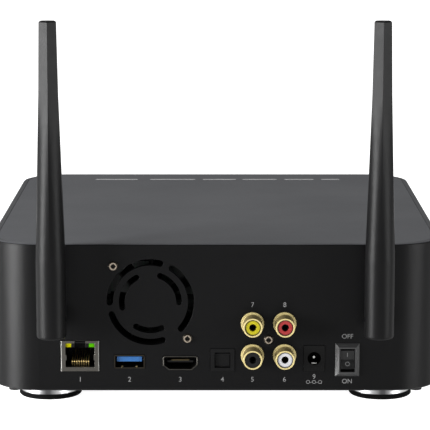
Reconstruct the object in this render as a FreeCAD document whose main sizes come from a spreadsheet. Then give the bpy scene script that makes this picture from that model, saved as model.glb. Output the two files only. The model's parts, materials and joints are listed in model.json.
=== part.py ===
import FreeCAD, Part
import math
import operator
import os

import Sketcher
from FreeCAD import Placement, Rotation, Vector

# Media player with a hard drive tray.  Millimetres, +Z up, the rear panel faces +Y and the
# tray opens towards -Y.  The origin is on the floor, under the middle of the whole object.
# Heights of what is in the housing are counted from the housing's underside.

SIZES = {
    # housing
    "body_width": 197.5,
    "body_depth": 202,
    "body_height": 65,
    "corner_radius": 22,
    "wall": 2.5,
    "edge_round": 0.5,
    "seam": 0.2,
    "fit": 0.1,
    "top_thickness": 2.5,
    "bottom_thickness": 1.5,
    "post_radius": 4,
    "post_sink": 0.8,
    "boss_height": 4,
    "standoff_radius": 3,
    "standoff_tip": 1.4,
    "standoff_inset": 3.2,
    "tip_rise": 1,
    "vent_width": 3,
    "vent_length": 30,
    "vent_inset": 12,
    "vent_start": 52,
    "vent_pitch": 40,
    # screws of the case, the feet and the rear panel
    "case_screw_radius": 1.5,
    "case_head_radius": 2.7,
    "case_head_height": 1.8,
    "cross_length": 2.5,
    "cross_width": 0.6,
    "cross_depth": 0.9,
    "cross_centre": 0.75,
    "screw_radius": 1.45,
    "screw_head": 2.15,
    "screw_crown": 1.6,
    "screw_rise": 1.3,
    "screw_length": 6,
    # feet
    "foot_height": 7,
    "foot_radius": 13.25,
    "foot_wall": 1.2,
    "foot_in_x": 25.05,
    "foot_in_y": 24.8,
    "foot_bore": 4.5,
    "foot_head": 3,
    "foot_head_height": 2,
    "foot_socket": 1.2,
    "foot_screw_rise": 3,
    "pad_height": 2.1,
    "pad_radius": 13.9,
    "pad_edge": 0.4,
    "groove_depth": 0.35,
    "groove_rise": 1.15,
    "groove_width": 0.3,
    # fascia, display and power button
    "fascia_side": 2.75,
    "fascia_height": 57,
    "fascia_lip": 1.5,
    "front_gap": 0.3,
    "window_width": 84,
    "window_height": 8,
    "window_low": 6.6,
    "window_round": 1.5,
    "window_rim": 1,
    "window_rim_thickness": 0.8,
    "peg_radius": 1.6,
    "peg_length": 1.5,
    "peg_out": 4,
    "button_out": 11,
    "button_radius": 3.4,
    "button_flange": 1.1,
    "button_back": 0.7,
    "button_dish": 2,
    "dish_depth": 0.25,
    "display_board_thickness": 1.6,
    "display_board_low": 4.6,
    "display_board_out": 7,
    "display_board_gap": 1.2,
    "display_panel": 0.6,
    "display_panel_inset": 3,
    # main board
    "board_top": 8.8,
    "board_thickness": 1.6,
    "board_half_width": 72,
    "board_strip": 32,
    "board_tail": 114,
    "board_tail_gap": 2.5,
    "rear_gap": 1.5,
    "chip_height": 1.6,
    "processor_back": 70,
    "processor_width": 18,
    "memory_x": 30,
    "memory_width": 9,
    "memory_length": 13,
    "sink_width": 40,
    "sink_plate": 1.6,
    "sink_gap": 1.2,
    "fin_thickness": 1.2,
    "radio_in": 10,
    "radio_rise": 6,
    "radio_width": 15,
    "radio_length": 9,
    "radio_board": 1,
    "radio_can": 1.4,
    "radio_can_edge": 2,
    "radio_can_length": 5,
    "radio_plug_x": 4,
    "radio_plug_y": 3.2,
    "radio_plug_radius": 1.2,
    "radio_plug_height": 1.6,
    # network jack
    "lan_x": 58.8,
    "lan_width": 16.5,
    "lan_height": 13.5,
    "lan_depth": 21,
    "lan_rim": 1.9,
    "lan_brow": 1.1,
    "lan_mouth_depth": 13.9,
    "lan_light_height": 1.8,
    "lan_light_width": 2.6,
    "lan_light_depth": 9,
    "lan_notch_width": 4.7,
    "lan_pitch": 1.02,
    "lan_spring_low": 4.9,
    "lan_spring_high": 7.3,
    "lan_spring_reach": 0.45,
    "wire_width": 0.5,
    "wire_in": 1.8,
    "wire_foot_in": 3,
    "wire_knee": 2.3,
    "wire_end": 5.1,
    "jack_metal": 0.4,
    # USB, HDMI and optical jacks
    "usb_x": 37.35,
    "usb_width": 13.2,
    "usb_height": 5.9,
    "usb_low": 10.1,
    "usb_depth": 14,
    "usb_round": 0.6,
    "usb_tongue_gap": 0.5,
    "usb_tongue_thickness": 2.2,
    "usb_tongue_side": 0.7,
    "usb_tongue_in": 0.8,
    "usb_spring_x": 3.15,
    "usb_spring_width": 0.8,
    "hdmi_x": 15.25,
    "hdmi_width": 15,
    "hdmi_foot_width": 10.1,
    "hdmi_height": 6.15,
    "hdmi_low": 9.4,
    "hdmi_depth": 12,
    "hdmi_corner": 0.6,
    "hdmi_step": 2.2,
    "hdmi_back": 2,
    "hdmi_tongue_side": 1.8,
    "hdmi_tongue_rise": 3.1,
    "hdmi_tongue_thickness": 0.9,
    "hdmi_tongue_in": 1,
    "leg_width": 1.1,
    "leg_length": 7,
    "leg_in": 1,
    "strip_thickness": 0.15,
    "strip_length": 1.8,
    "optical_x": -3.1,
    "optical_width": 10.5,
    "optical_height": 9.9,
    "optical_depth": 13,
    "optical_bore": 6.8,
    "optical_back": 1.5,
    "shutter_thickness": 0.8,
    "shutter_gap": 0.3,
    "shutter_in": 1.1,
    "shutter_down": 0.9,
    "shutter_pin": 0.6,
    "shutter_ear": 0.7,
    # phono sockets
    "rca_x": -16.15,
    "rca_pitch_x": 13.95,
    "rca_low": 15.75,
    "rca_pitch_z": 14.2,
    "rca_flange_radius": 5.05,
    "rca_flange_thickness": 0.6,
    "rca_radius": 4.15,
    "rca_bore": 3.5,
    "rca_hole": 1.6,
    "rca_length": 9,
    "rca_recess": 0.5,
    "rca_core": 1.15,
    "rca_core_in": 2.2,
    "rca_core_depth": 5,
    "rca_core_gap": 0.05,
    "rca_base_depth": 10,
    "rca_base_edge": 1.6,
    # supply jack and rocker switch
    "dc_x": -43,
    "dc_width": 9.1,
    "dc_height": 11.4,
    "dc_depth": 14,
    "dc_bore": 2.9,
    "dc_bore_depth": 10,
    "dc_pin": 1,
    "dc_pin_tip": 0.5,
    "dc_pin_in": 2.4,
    "dc_pin_taper": 0.8,
    "dc_spring_width": 2.4,
    "dc_spring_thickness": 0.5,
    "dc_spring_rise": 0.2,
    "switch_x": -57.4,
    "switch_z": 13.9,
    "switch_width": 10.5,
    "switch_height": 14.6,
    "switch_depth": 13,
    "switch_rim": 0.7,
    "switch_flange": 1.8,
    "switch_bevel": 1.5,
    "rocker_width": 5.9,
    "rocker_reach": 4.95,
    "rocker_gap": 0.25,
    "rocker_tilt": 8,
    "rocker_in": 1.2,
    "rocker_pin": 0.8,
    "rocker_pin_reach": 0.9,
    # fan
    "fan_x": 28.1,
    "fan_z": 39.4,
    "fan_size": 40,
    "fan_thickness": 10,
    "fan_pitch": 32,
    "fan_corner": 3,
    "fan_rim": 1,
    "fan_tip_gap": 1.4,
    "fan_arm": 1.5,
    "fan_arm_width": 2,
    "fan_front_gap": 0.9,
    "fan_cup_gap": 0.4,
    "hub_radius": 8.5,
    "axle_radius": 1,
    "axle_fit": 0.05,
    "blade_root_run": 4.4,
    "blade_tip_run": 5.6,
    "blade_thickness": 0.8,
    "blade_sink": 0.6,
    "slot_outer": 17.6,
    "slot_outer_width": 2.7,
    "slot_inner": 12.4,
    "slot_inner_width": 2.5,
    # antennas
    "antenna_in": 28.65,
    "antenna_z": 34.5,
    "antenna_reach": 12,
    "antenna_radius": 6.4,
    "antenna_drop": 8,
    "antenna_end_round": 1.2,
    "antenna_round_top": 60,
    "antenna_middle": 131,
    "antenna_middle_width": 8.3,
    "antenna_top": 162,
    "antenna_top_width": 7.25,
    "socket_radius": 5.4,
    "socket_flange": 1,
    "socket_barrel": 3.9,
    "socket_bore": 2.3,
    "socket_length": 5,
    "collar_radius": 4.8,
    "collar_thickness": 0.8,
    "collar_gap": 0.2,
    "stem_radius": 2.2,
    "clip_radius": 2.9,
    "clip_thickness": 0.8,
    "clip_gap": 0.4,
    "hinge_pin": 1.2,
    "pin_fit": 0.05,
    "pin_end": 0.3,
    "tongue_width": 5,
    "tongue_radius": 4,
    "tongue_gap": 0.3,
    "nut_width": 10,
    "nut_thickness": 2.2,
    # tray and its cage
    "cage_gap": 1.2,
    "cage_sheet": 1,
    "cage_floor": 19.5,
    "cage_top": 53,
    "cage_front": 10,
    "cage_foot": 4.5,
    "cage_hole": 14,
    "cage_hole_start": 12,
    "cage_hole_length": 28,
    "hole_round": 2,
    "rail_height": 3.2,
    "rail_gap": 0.5,
    "slide_gap": 0.3,
    "tray_floor": 21.2,
    "tray_sheet": 1.2,
    "tray_wall": 3.4,
    "tray_wall_height": 14.8,
    "tray_fit": 0.5,
    "tray_short": 8,
    "tray_hole_inset": 8,
    "tray_hole_width": 24,
    "tray_hole_length": 40,
    "tray_hole_start": 14,
    "tray_hole_pitch": 54,
    "rib_height": 3,
    "rib_reach": 2.6,
    "bezel_lip": 5.3,
    "bezel_low": 18,
    "bezel_height": 38,
    "bezel_plate": 3,
    "bezel_depth": 11,
    "bezel_edge": 0.4,
    "bezel_block_drop": 4,
    # lever and release button of the tray
    "lever_height": 21.2,
    "lever_in": 8.5,
    "lever_plate": 3,
    "lever_lip": 1.6,
    "lever_grip": 5,
    "lever_boss": 3.4,
    "lever_pin_sink": 4,
    "recess_gap": 0.5,
    "recess_round": 1.2,
    "air_inset": 12,
    "air_width": 2.2,
    "air_edge": 3,
    "air_round": 1,
    "release_in": 9.9,
    "release_width": 13,
    "release_gap": 0.6,
    "release_round": 1,
    "release_stem": 1.4,
    "release_bore": 1.8,
    "release_stem_end": 3,
    "grip_inset": 3,
    "grip_start": 4,
    "grip_width": 1,
    "grip_depth": 0.6,
    # hard drive
    "drive_width": 101.6,
    "drive_length": 147,
    "drive_height": 26.1,
    "drive_gap": 1.5,
    "drive_corner": 2.5,
    "drive_lid": 4,
    "drive_lid_in": 1,
    "drive_lid_short": 8,
    "drive_dome": 1.4,
    "drive_dome_in": 6,
    "drive_notch_height": 8,
    "drive_notch_gap": 0.7,
    "drive_hole_back": 28.5,
    "drive_hole_pitch": 101.6,
    "drive_hole_rise": 6.35,
    "drive_screw_radius": 1.7,
    "drive_thread": 3,
    "drive_head_radius": 3.1,
    "drive_head_height": 1.8,
    "drive_sink_radius": 3.5,
    "drive_sink_depth": 2,
    # backplane and leads
    "backplane_gap": 7,
    "backplane_width": 100,
    "backplane_height": 42,
    "header_x": 6,
    "header_width": 36,
    "header_depth": 3.4,
    "header_height": 5,
    "socket_x": -18,
    "socket_width": 44,
    "socket_reach": 5.5,
    "socket_rise": 0.8,
    "socket_height": 6,
    "socket_slot": 2,
    "power_slot": 22,
    "data_slot": 12,
    "slot_edge": 3,
    "lead_radius": 0.65,
    "lead_run": 10,
    "lead_lift": 5,
    "lead_high": 18,
    "lead_fall": 26,
    "fan_lead_step": 2.5,
}

PAST = 1.0  # how far a cutting tool runs past what it cuts
VENTS = 13
FINS = 11
WIRES = 8
BLADES = 7
AIR_SLOTS = 13
GRIPS = 6
CAGE_HOLES = 4
TRAY_HOLES = 3
OUTER_SLOTS = ((0.1, 104.1), (122.0, 221.5), (252.8, 342.3))
INNER_SLOTS = ((110.0, 179.8), (-10.7, 61.1), (246.8, 300.3))

# Shapes as shares of one size: a rocker's side of its reach, out and up from the hinge, and an
# antenna blade's section of its half width, across and away from the panel.
ROCKER_SIDE = (
    (0.62, 0.79), (0.44, 0), (0.62, -0.79), (0, -1.01),
    (-0.42, -0.85), (-0.5, 0), (-0.42, 0.85), (0, 1.01),
)
BLADE_SIDE = (
    (1, 0.35), (0, 1), (-1, 0.35), (-1, -0.1),
    (-0.8, -0.7), (0, -0.9), (0.8, -0.7), (1, -0.1),
)

OPERATIONS = {"+": operator.add, "-": operator.sub, "*": operator.mul, "/": operator.truediv}
TURNS = {
    "x": Rotation(Vector(0, 1, 0), 90),
    "y": Rotation(Vector(1, 0, 0), -90),
    "z": Rotation(),
}

document = FreeCAD.newDocument("media_player")
sheet = document.addObject("Spreadsheet::Sheet", "sizes")
nodes = []


# ---- sizes that keep their spreadsheet expression ------------------------------------------


class Size:
    """A number together with the spreadsheet expression that it comes from."""

    def __init__(self, value, text=None):
        self.value = float(value)
        self.driven = text is not None
        self.text = text if self.driven else f"({self.value:.9g})"

    def __add__(self, other):
        return combine(self, "+", other)

    def __radd__(self, other):
        return combine(other, "+", self)

    def __sub__(self, other):
        return combine(self, "-", other)

    def __rsub__(self, other):
        return combine(other, "-", self)

    def __mul__(self, other):
        return combine(self, "*", other)

    def __rmul__(self, other):
        return combine(other, "*", self)

    def __truediv__(self, other):
        return combine(self, "/", other)

    def __neg__(self):
        return combine(0, "-", self)


def as_size(thing):
    return thing if isinstance(thing, Size) else Size(thing)


def combine(left, sign, right):
    left, right = as_size(left), as_size(right)
    text = f"({left.text} {sign} {right.text})"
    return Size(OPERATIONS[sign](left.value, right.value), text)


def fill_sheet():
    """Writes each driving size into the sheet and gives it back as a Size."""
    found = {}
    for row, (name, value) in enumerate(SIZES.items(), 1):
        sheet.set(f"A{row}", name)
        sheet.set(f"B{row}", str(value))
        sheet.setAlias(f"B{row}", name)
        found[name] = Size(value, f"sizes.{name}")
    document.recompute()
    return found


def bind(thing, **sizes):
    for name, size in sizes.items():
        size = as_size(size)
        setattr(thing, name, size.value)
        if size.driven:
            thing.setExpression(name, size.text)


def put(thing, x, y, z, turn=TURNS["z"]):
    """Places a thing, with each driven coordinate bound to the sheet."""
    spot = [as_size(x), as_size(y), as_size(z)]
    thing.Placement = Placement(Vector(*(one.value for one in spot)), turn)
    for axis, one in zip("xyz", spot):
        if one.driven:
            thing.setExpression(f".Placement.Base.{axis}", one.text)
    return thing


# ---- solids ----------------------------------------------------------------------------------


def box(name, across, along, up):
    """A block between pairs of X, Y and Z limits."""
    block = document.addObject("Part::Box", name)
    for side, (low, high) in zip(("Length", "Width", "Height"), (across, along, up)):
        bind(block, **{side: high - low})
    return put(block, across[0], along[0], up[0])


def middle(centre, width):
    """The pair of limits of a width about its centre."""
    return centre - width / 2, centre + width / 2


def rod(name, axis, centre, radius, start, end):
    """A cylinder along an axis; centre holds its other two coordinates in order."""
    cylinder = document.addObject("Part::Cylinder", name)
    bind(cylinder, Radius=radius, Height=end - start)
    spot = list(centre)
    spot.insert("xyz".index(axis), start)
    return put(cylinder, *spot, TURNS[axis])


def cone(name, axis, centre, radius, end_radius, start, end):
    tapered = document.addObject("Part::Cone", name)
    bind(tapered, Radius1=radius, Radius2=end_radius, Height=end - start)
    spot = list(centre)
    spot.insert("xyz".index(axis), start)
    return put(tapered, *spot, TURNS[axis])


def fuse(name, *solids):
    joined = document.addObject("Part::MultiFuse", name)
    joined.Shapes = list(solids)
    joined.Refine = True
    return joined


def cut(name, base, *tools):
    rest = document.addObject("Part::Cut", name)
    rest.Base = base
    rest.Tool = tools[0] if len(tools) == 1 else fuse(name + "_tools", *tools)
    return rest


def common(name, *solids):
    shared = document.addObject("Part::MultiCommon", name)
    shared.Shapes = list(solids)
    return shared


def group(name, *solids):
    """Separate solids kept in one node."""
    together = document.addObject("Part::Compound", name)
    together.Links = list(solids)
    return together


def keep(solid):
    """Marks a finished sub-part, whose name is its file's name."""
    solid.Label = solid.Name
    nodes.append(solid)
    return solid


# ---- bodies and sketches ---------------------------------------------------------------------


def new_body(name):
    return document.addObject("PartDesign::Body", name)


def sketch(body, name, plane, offset):
    """A sketch on one of the body's own planes, moved out along that plane's axis."""
    drawing = body.newObject("Sketcher::SketchObject", name)
    planes = body.Origin.OriginFeatures
    drawing.AttachmentSupport = [(next(one for one in planes if one.Role == plane + "_Plane"), "")]
    drawing.MapMode = "FlatFace"
    away = -as_size(offset) if plane == "XZ" else as_size(offset)
    drawing.AttachmentOffset = Placement(Vector(0, 0, away.value), Rotation())
    drawing.setExpression(".AttachmentOffset.Base.z", away.text)
    return drawing


def pin_point(drawing, curve, end, x, y):
    for kind, size in (("DistanceX", as_size(x)), ("DistanceY", as_size(y))):
        index = drawing.addConstraint(Sketcher.Constraint(kind, -1, 1, curve, end, size.value))
        if size.driven:
            drawing.setExpression(f"Constraints[{index}]", size.text)


def set_radius(drawing, curve, radius):
    radius = as_size(radius)
    index = drawing.addConstraint(Sketcher.Constraint("Radius", curve, radius.value))
    if radius.driven:
        drawing.setExpression(f"Constraints[{index}]", radius.text)


def flat(x, y):
    return Vector(as_size(x).value, as_size(y).value, 0)


def polygon(drawing, points):
    """A closed outline of straight lines."""
    first = drawing.GeometryCount
    corners = [flat(x, y) for x, y in points]
    for start, end in zip(corners, corners[1:] + corners[:1]):
        drawing.addGeometry(Part.LineSegment(start, end), False)
    for index, (x, y) in enumerate(points):
        following = first + (index + 1) % len(points)
        drawing.addConstraint(Sketcher.Constraint("Coincident", first + index, 2, following, 1))
        pin_point(drawing, first + index, 1, x, y)


def rectangle(drawing, across, up):
    (left, right), (low, high) = across, up
    polygon(drawing, [(left, low), (right, low), (right, high), (left, high)])


def circle(drawing, x, y, radius):
    curve = drawing.addGeometry(Part.Circle(flat(x, y), Vector(0, 0, 1), as_size(radius).value))
    pin_point(drawing, curve, 3, x, y)
    set_radius(drawing, curve, radius)


def rounded_rectangle(drawing, across, up, radius):
    """A rectangle with four tangent corner arcs."""
    first = drawing.GeometryCount
    near, far = across[0] + radius, across[1] - radius
    low, high = up[0] + radius, up[1] - radius
    centres = [(far, high), (near, high), (near, low), (far, low)]
    reach = as_size(radius).value
    ends = []
    for quarter, (x, y) in enumerate(centres):
        start = quarter * math.pi / 2
        ring = Part.Circle(flat(x, y), Vector(0, 0, 1), reach)
        arc = Part.ArcOfCircle(ring, start, start + math.pi / 2)
        drawing.addGeometry(arc, False)
        ends.append((arc.StartPoint, arc.EndPoint))
    for quarter in range(4):
        following = (quarter + 1) % 4
        line = drawing.addGeometry(Part.LineSegment(ends[quarter][1], ends[following][0]), False)
        drawing.addConstraint(Sketcher.Constraint("Tangent", first + quarter, 2, line, 1))
        drawing.addConstraint(Sketcher.Constraint("Tangent", line, 2, first + following, 1))
    for quarter, (x, y) in enumerate(centres):
        pin_point(drawing, first + quarter, 3, x, y)
        set_radius(drawing, first + quarter, radius)


def arc_slot(drawing, x, y, radius, width, start, end):
    """A slot with round ends, bent round a centre between two angles in degrees."""
    turns = [math.radians(start), math.radians(end)]
    rims = []
    for reach in (radius + width / 2, radius - width / 2):
        ring = Part.Circle(flat(x, y), Vector(0, 0, 1), reach.value)
        curve = drawing.addGeometry(Part.ArcOfCircle(ring, *turns), False)
        pin_point(drawing, curve, 3, x, y)
        set_radius(drawing, curve, reach)
        rims.append(curve)
    for point, turn in ((1, turns[0] + math.pi), (2, turns[1])):
        angle = turns[point - 1]
        cap_x, cap_y = x + radius * math.cos(angle), y + radius * math.sin(angle)
        ring = Part.Circle(flat(cap_x, cap_y), Vector(0, 0, 1), width.value / 2)
        cap = drawing.addGeometry(Part.ArcOfCircle(ring, turn, turn + math.pi), False)
        outer_end, inner_end = (2, 1) if point == 1 else (1, 2)
        drawing.addConstraint(Sketcher.Constraint("Tangent", rims[0], point, cap, outer_end))
        drawing.addConstraint(Sketcher.Constraint("Tangent", rims[1], point, cap, inner_end))
        upright = abs(math.cos(angle)) > abs(math.sin(angle))
        kind, size = ("DistanceY", cap_y) if upright else ("DistanceX", cap_x)
        index = drawing.addConstraint(Sketcher.Constraint(kind, -1, 1, cap, 3, size.value))
        drawing.setExpression(f"Constraints[{index}]", size.text)


def feature(body, kind, name, drawing, length, both=False, back=False):
    made = body.newObject("PartDesign::" + kind, name)
    made.Profile = drawing
    bind(made, Length=length)
    made.Midplane = both
    made.Reversed = back
    document.recompute()
    return made


def pad(body, name, drawing, length, back=False):
    """Grows a sketch up the plane's axis, or down it if back is set."""
    faces_down = drawing.AttachmentSupport[0][0].Role == "XZ_Plane"
    return feature(body, "Pad", name, drawing, length, back=back != faces_down)


def pad_both(body, name, drawing, length):
    return feature(body, "Pad", name, drawing, length, both=True)


def pocket(body, name, drawing, length):
    """Cuts to both sides of the sketch, and checks that it does cut."""
    before = body.Shape.Volume
    made = feature(body, "Pocket", name, drawing, length, both=True)
    if body.Shape.Volume > before - 1e-6:
        raise RuntimeError(f"{name} cuts nothing")
    return made


def row(body, name, what, direction, length, count):
    """Repeats features along one of the body's axes."""
    pattern = body.newObject("PartDesign::LinearPattern", name)
    pattern.Originals = what
    axes = body.Origin.OriginFeatures
    pattern.Direction = (next(one for one in axes if one.Role == direction + "_Axis"), [""])
    bind(pattern, Length=length)
    pattern.Occurrences = count
    body.Tip = pattern
    document.recompute()
    return pattern


def ring_of(body, name, what, axis, count):
    """Repeats features round one of the body's axes."""
    pattern = body.newObject("PartDesign::PolarPattern", name)
    pattern.Originals = what
    axes = body.Origin.OriginFeatures
    pattern.Axis = (next(one for one in axes if one.Role == axis + "_Axis"), [""])
    pattern.Angle = 360
    pattern.Occurrences = count
    body.Tip = pattern
    document.recompute()
    return pattern


def spin(body, name, drawing, axis):
    """A full revolution of a sketch about one of the body's axes."""
    made = body.newObject("PartDesign::Revolution", name)
    made.Profile = drawing
    axes = body.Origin.OriginFeatures
    made.ReferenceAxis = (next(one for one in axes if one.Role == axis + "_Axis"), [""])
    made.Angle = 360
    document.recompute()
    return made


def dress(body, kind, name, size, wanted):
    """Rounds or chamfers the edges of the body's tip that the test accepts."""
    base = body.Tip
    chosen = [f"Edge{i}" for i, edge in enumerate(base.Shape.Edges, 1) if wanted(edge)]
    made = body.newObject("PartDesign::" + kind, name)
    made.Base = (base, chosen)
    if kind == "Fillet":
        bind(made, Radius=size)
    else:
        bind(made, Size=size)
    document.recompute()
    return made


def level(edge, height):
    """Whether a whole edge lies at one height."""
    bounds = edge.BoundBox
    return abs(bounds.ZMin - height.value) < 1e-4 and abs(bounds.ZMax - height.value) < 1e-4


# ---- places that several sub-parts share ------------------------------------------------------

given = fill_sheet()


def size(name):
    return given[name]


base = size("foot_height")
half_width = size("body_width") / 2
rear = (size("body_depth") - size("antenna_reach") - size("antenna_radius")) / 2
front = rear - size("body_depth")
inside = rear - size("wall")
crown = base + size("body_height")
floor_top = base + size("bottom_thickness")
ceiling = crown - size("top_thickness")
board_top = base + size("board_top")
board_low = board_top - size("board_thickness")
board_edge = inside - size("rear_gap")
strip_edge = board_edge - size("board_strip")
processor_y = board_edge - size("processor_back")
hinge_z = base + size("antenna_z")
antenna_x = half_width - size("antenna_in")
pivot_y = rear + size("antenna_reach")
collar_y = rear + size("socket_flange") + size("collar_gap")
radio_spot = (antenna_x - size("radio_in"), strip_edge + size("radio_rise"))

# front
fascia_back = front + size("wall") + size("fascia_lip")
fascia_half = half_width - size("corner_radius") - size("fascia_side")
window_span = (base + size("window_low"), base + size("window_low") + size("window_height"))
window_middle = (window_span[0] + window_span[1]) / 2
button_x = size("window_width") / 2 + size("button_out")
button_y = fascia_back + size("fit")

# tray, cage and drive
tray_low = base + size("tray_floor")
drive_low = tray_low + size("tray_sheet")
drive_front = front + size("bezel_depth") + size("drive_gap")
drive_rear = drive_front + size("drive_length")
drive_half = size("drive_width") / 2
tray_inner = drive_half + size("tray_fit")
tray_outer = tray_inner + size("tray_wall")
rib_outer = tray_outer + size("rib_reach")
cage_half = rib_outer + size("cage_gap")
wall_top = tray_low + size("tray_wall_height")
rib_low = wall_top - size("rib_height")
drive_holes = [
    (drive_rear - size("drive_hole_back") - step, drive_low + size("drive_hole_rise"))
    for step in (Size(0), size("drive_hole_pitch"))
]
backplane_y = drive_rear + size("backplane_gap")
socket_across = middle(size("socket_x"), size("socket_width"))

# bezel, lever and release button
bezel_half = tray_outer + size("bezel_lip")
bezel_low = base + size("bezel_low")
bezel_top = bezel_low + size("bezel_height")
bezel_middle = (bezel_low + bezel_top) / 2
lever_pin = (bezel_half - size("lever_in"), front + size("front_gap") + size("lever_boss"))
lever_face = lever_pin[1] - size("lever_boss")
lever_span = middle(bezel_middle, size("lever_height"))
air_span = middle(bezel_middle, size("lever_height") - 2 * size("air_edge"))
recess_back = lever_pin[1] + size("lever_boss") + size("front_gap")
release_low = size("release_in") - bezel_half
release_span = (release_low, release_low + size("release_width"))
release_stem = (release_low + size("release_width") / 2, bezel_middle)
lever_end = release_span[1] + size("release_gap")
lever_length = lever_pin[0] - lever_end

# rear panel
lan_across = middle(size("lan_x"), size("lan_width"))
lan_up = (board_top, board_top + size("lan_height"))
lan_mouth = (
    (lan_across[0] + size("lan_rim"), lan_across[1] - size("lan_rim")),
    (lan_up[0] + size("lan_rim"), lan_up[1] - size("lan_brow")),
)
lan_light_low = lan_mouth[1][1] - size("lan_light_height")
lan_deep = rear - size("lan_mouth_depth")
usb_across = middle(size("usb_x"), size("usb_width"))
usb_up = (base + size("usb_low"), base + size("usb_low") + size("usb_height"))
hdmi_up = (base + size("hdmi_low"), base + size("hdmi_low") + size("hdmi_height"))
optical_spot = (size("optical_x"), board_top + size("optical_height") / 2)
shutter_hinge = (
    rear - size("shutter_in"),
    optical_spot[1] + size("optical_bore") / 2 - size("shutter_down"),
)
rca_columns = (size("rca_x"), size("rca_x") - size("rca_pitch_x"))
rca_rows = (base + size("rca_low"), base + size("rca_low") + size("rca_pitch_z"))
panel_screw = (rca_columns[0] - size("rca_pitch_x") / 2, rca_rows[0] + size("rca_pitch_z") / 2)
fan_spot = (size("fan_x"), base + size("fan_z"))
fan_back = inside - size("fan_thickness")
fan_bore = size("fan_size") / 2 - size("fan_rim")
fan_screws = [
    (fan_spot[0] + side * size("fan_pitch") / 2, fan_spot[1] + side * size("fan_pitch") / 2)
    for side in (1, -1)
]
dc_spot = (size("dc_x"), board_top + size("dc_height") / 2)
switch_spot = (size("switch_x"), base + size("switch_z"))
rocker_y = rear - size("rocker_in")

# corner posts and feet
post_spots = []
foot_spots = []
for side_x in (1, -1):
    inner_radius = size("corner_radius") - size("wall")
    post_reach = (inner_radius + size("post_sink") - size("post_radius")) * math.sqrt(0.5)
    post_x = side_x * (half_width - size("corner_radius") + post_reach)
    foot_x = side_x * (half_width - size("foot_in_x"))
    for side_y, edge_y in ((1, rear), (-1, front)):
        post_spots.append((post_x, edge_y - side_y * (size("corner_radius") - post_reach)))
        foot_spots.append((foot_x, edge_y - side_y * size("foot_in_y")))


def grown(span, extra):
    """A pair of limits moved out by the same amount at both ends."""
    return span[0] - extra, span[1] + extra


def hdmi_outline(inset):
    """The HDMI opening: full width above, narrower along the bottom, small top corners."""
    low, high = hdmi_up
    half, foot = size("hdmi_width") / 2 - inset, size("hdmi_foot_width") / 2 - inset / 2
    centre, corner, step = size("hdmi_x"), size("hdmi_corner"), low + size("hdmi_step")
    return [
        (centre - foot, low + inset),
        (centre + foot, low + inset),
        (centre + half, step),
        (centre + half, high - corner - inset),
        (centre + half - corner, high - inset),
        (centre - half + corner, high - inset),
        (centre - half, high - corner - inset),
        (centre - half, step),
    ]


# ---- housing -----------------------------------------------------------------------------------


def housing_shell():
    body = new_body("housing_shell")
    wall = size("wall")
    plan = sketch(body, "shell_plan", "XY", base)
    rounded_rectangle(plan, (-half_width, half_width), (front, rear), size("corner_radius"))
    inner = (-half_width + wall, half_width - wall)
    rounded_rectangle(plan, inner, (front + wall, inside), size("corner_radius") - wall)
    pad(body, "shell_wall", plan, size("body_height"))

    def outer_rim(edge):
        bounds = edge.BoundBox
        past_sides = max(bounds.XMax, -bounds.XMin) - half_width.value
        past_ends = max(bounds.YMax - rear.value, front.value - bounds.YMin)
        return (level(edge, base) or level(edge, crown)) and max(past_sides, past_ends) > -0.01

    dress(body, "Chamfer", "shell_edge", size("edge_round"), outer_rim)

    posts = sketch(body, "posts_plan", "XY", floor_top)
    for x, y in post_spots:
        circle(posts, x, y, size("post_radius"))
        circle(posts, x, y, size("case_screw_radius") + size("fit"))
    pad(body, "posts", posts, ceiling - size("boss_height") - floor_top)

    openings = sketch(body, "rear_openings_plan", "XZ", rear - wall / 2)
    rear_openings(openings)
    pocket(body, "rear_openings", openings, wall + PAST)

    window = sketch(body, "front_opening_plan", "XZ", front + wall / 2)
    up = middle(base + size("body_height") / 2, size("fascia_height"))
    rounded_rectangle(window, (-fascia_half, fascia_half), up, wall)
    pocket(body, "front_opening", window, wall + PAST)
    return keep(body)


def rear_openings(drawing):
    """Every hole of the rear panel, each with its jack's own size and a small fit."""
    fit = size("fit")
    rectangle(drawing, grown(lan_across, fit), grown(lan_up, fit))
    rectangle(drawing, grown(usb_across, fit), grown(usb_up, fit))
    polygon(drawing, hdmi_outline(-fit))
    block_fit = 2 * fit
    optical_across = middle(size("optical_x"), size("optical_width") + block_fit)
    rectangle(drawing, optical_across, middle(optical_spot[1], size("optical_height") + block_fit))
    dc_across = middle(dc_spot[0], size("dc_width") + block_fit)
    rectangle(drawing, dc_across, middle(dc_spot[1], size("dc_height") + block_fit))
    rectangle(drawing, *(grown(span, fit) for span in switch_case()))
    for x in rca_columns:
        for z in rca_rows:
            circle(drawing, x, z, size("rca_flange_radius") + fit)
    for x, z in [panel_screw] + fan_screws:
        circle(drawing, x, z, size("screw_radius") + fit)
    for side in (1, -1):
        circle(drawing, side * antenna_x, hinge_z, size("socket_barrel") + fit)
    for start, end in OUTER_SLOTS:
        arc_slot(drawing, *fan_spot, size("slot_outer"), size("slot_outer_width"), start, end)
    for start, end in INNER_SLOTS:
        arc_slot(drawing, *fan_spot, size("slot_inner"), size("slot_inner_width"), start, end)


def lid_outline(drawing):
    """The plan of a plate that drops into the housing with a seam all round."""
    gap = size("wall") + size("seam")
    across = (-half_width + gap, half_width - gap)
    rounded_rectangle(drawing, across, (front + gap, rear - gap), size("corner_radius") - gap)


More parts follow.
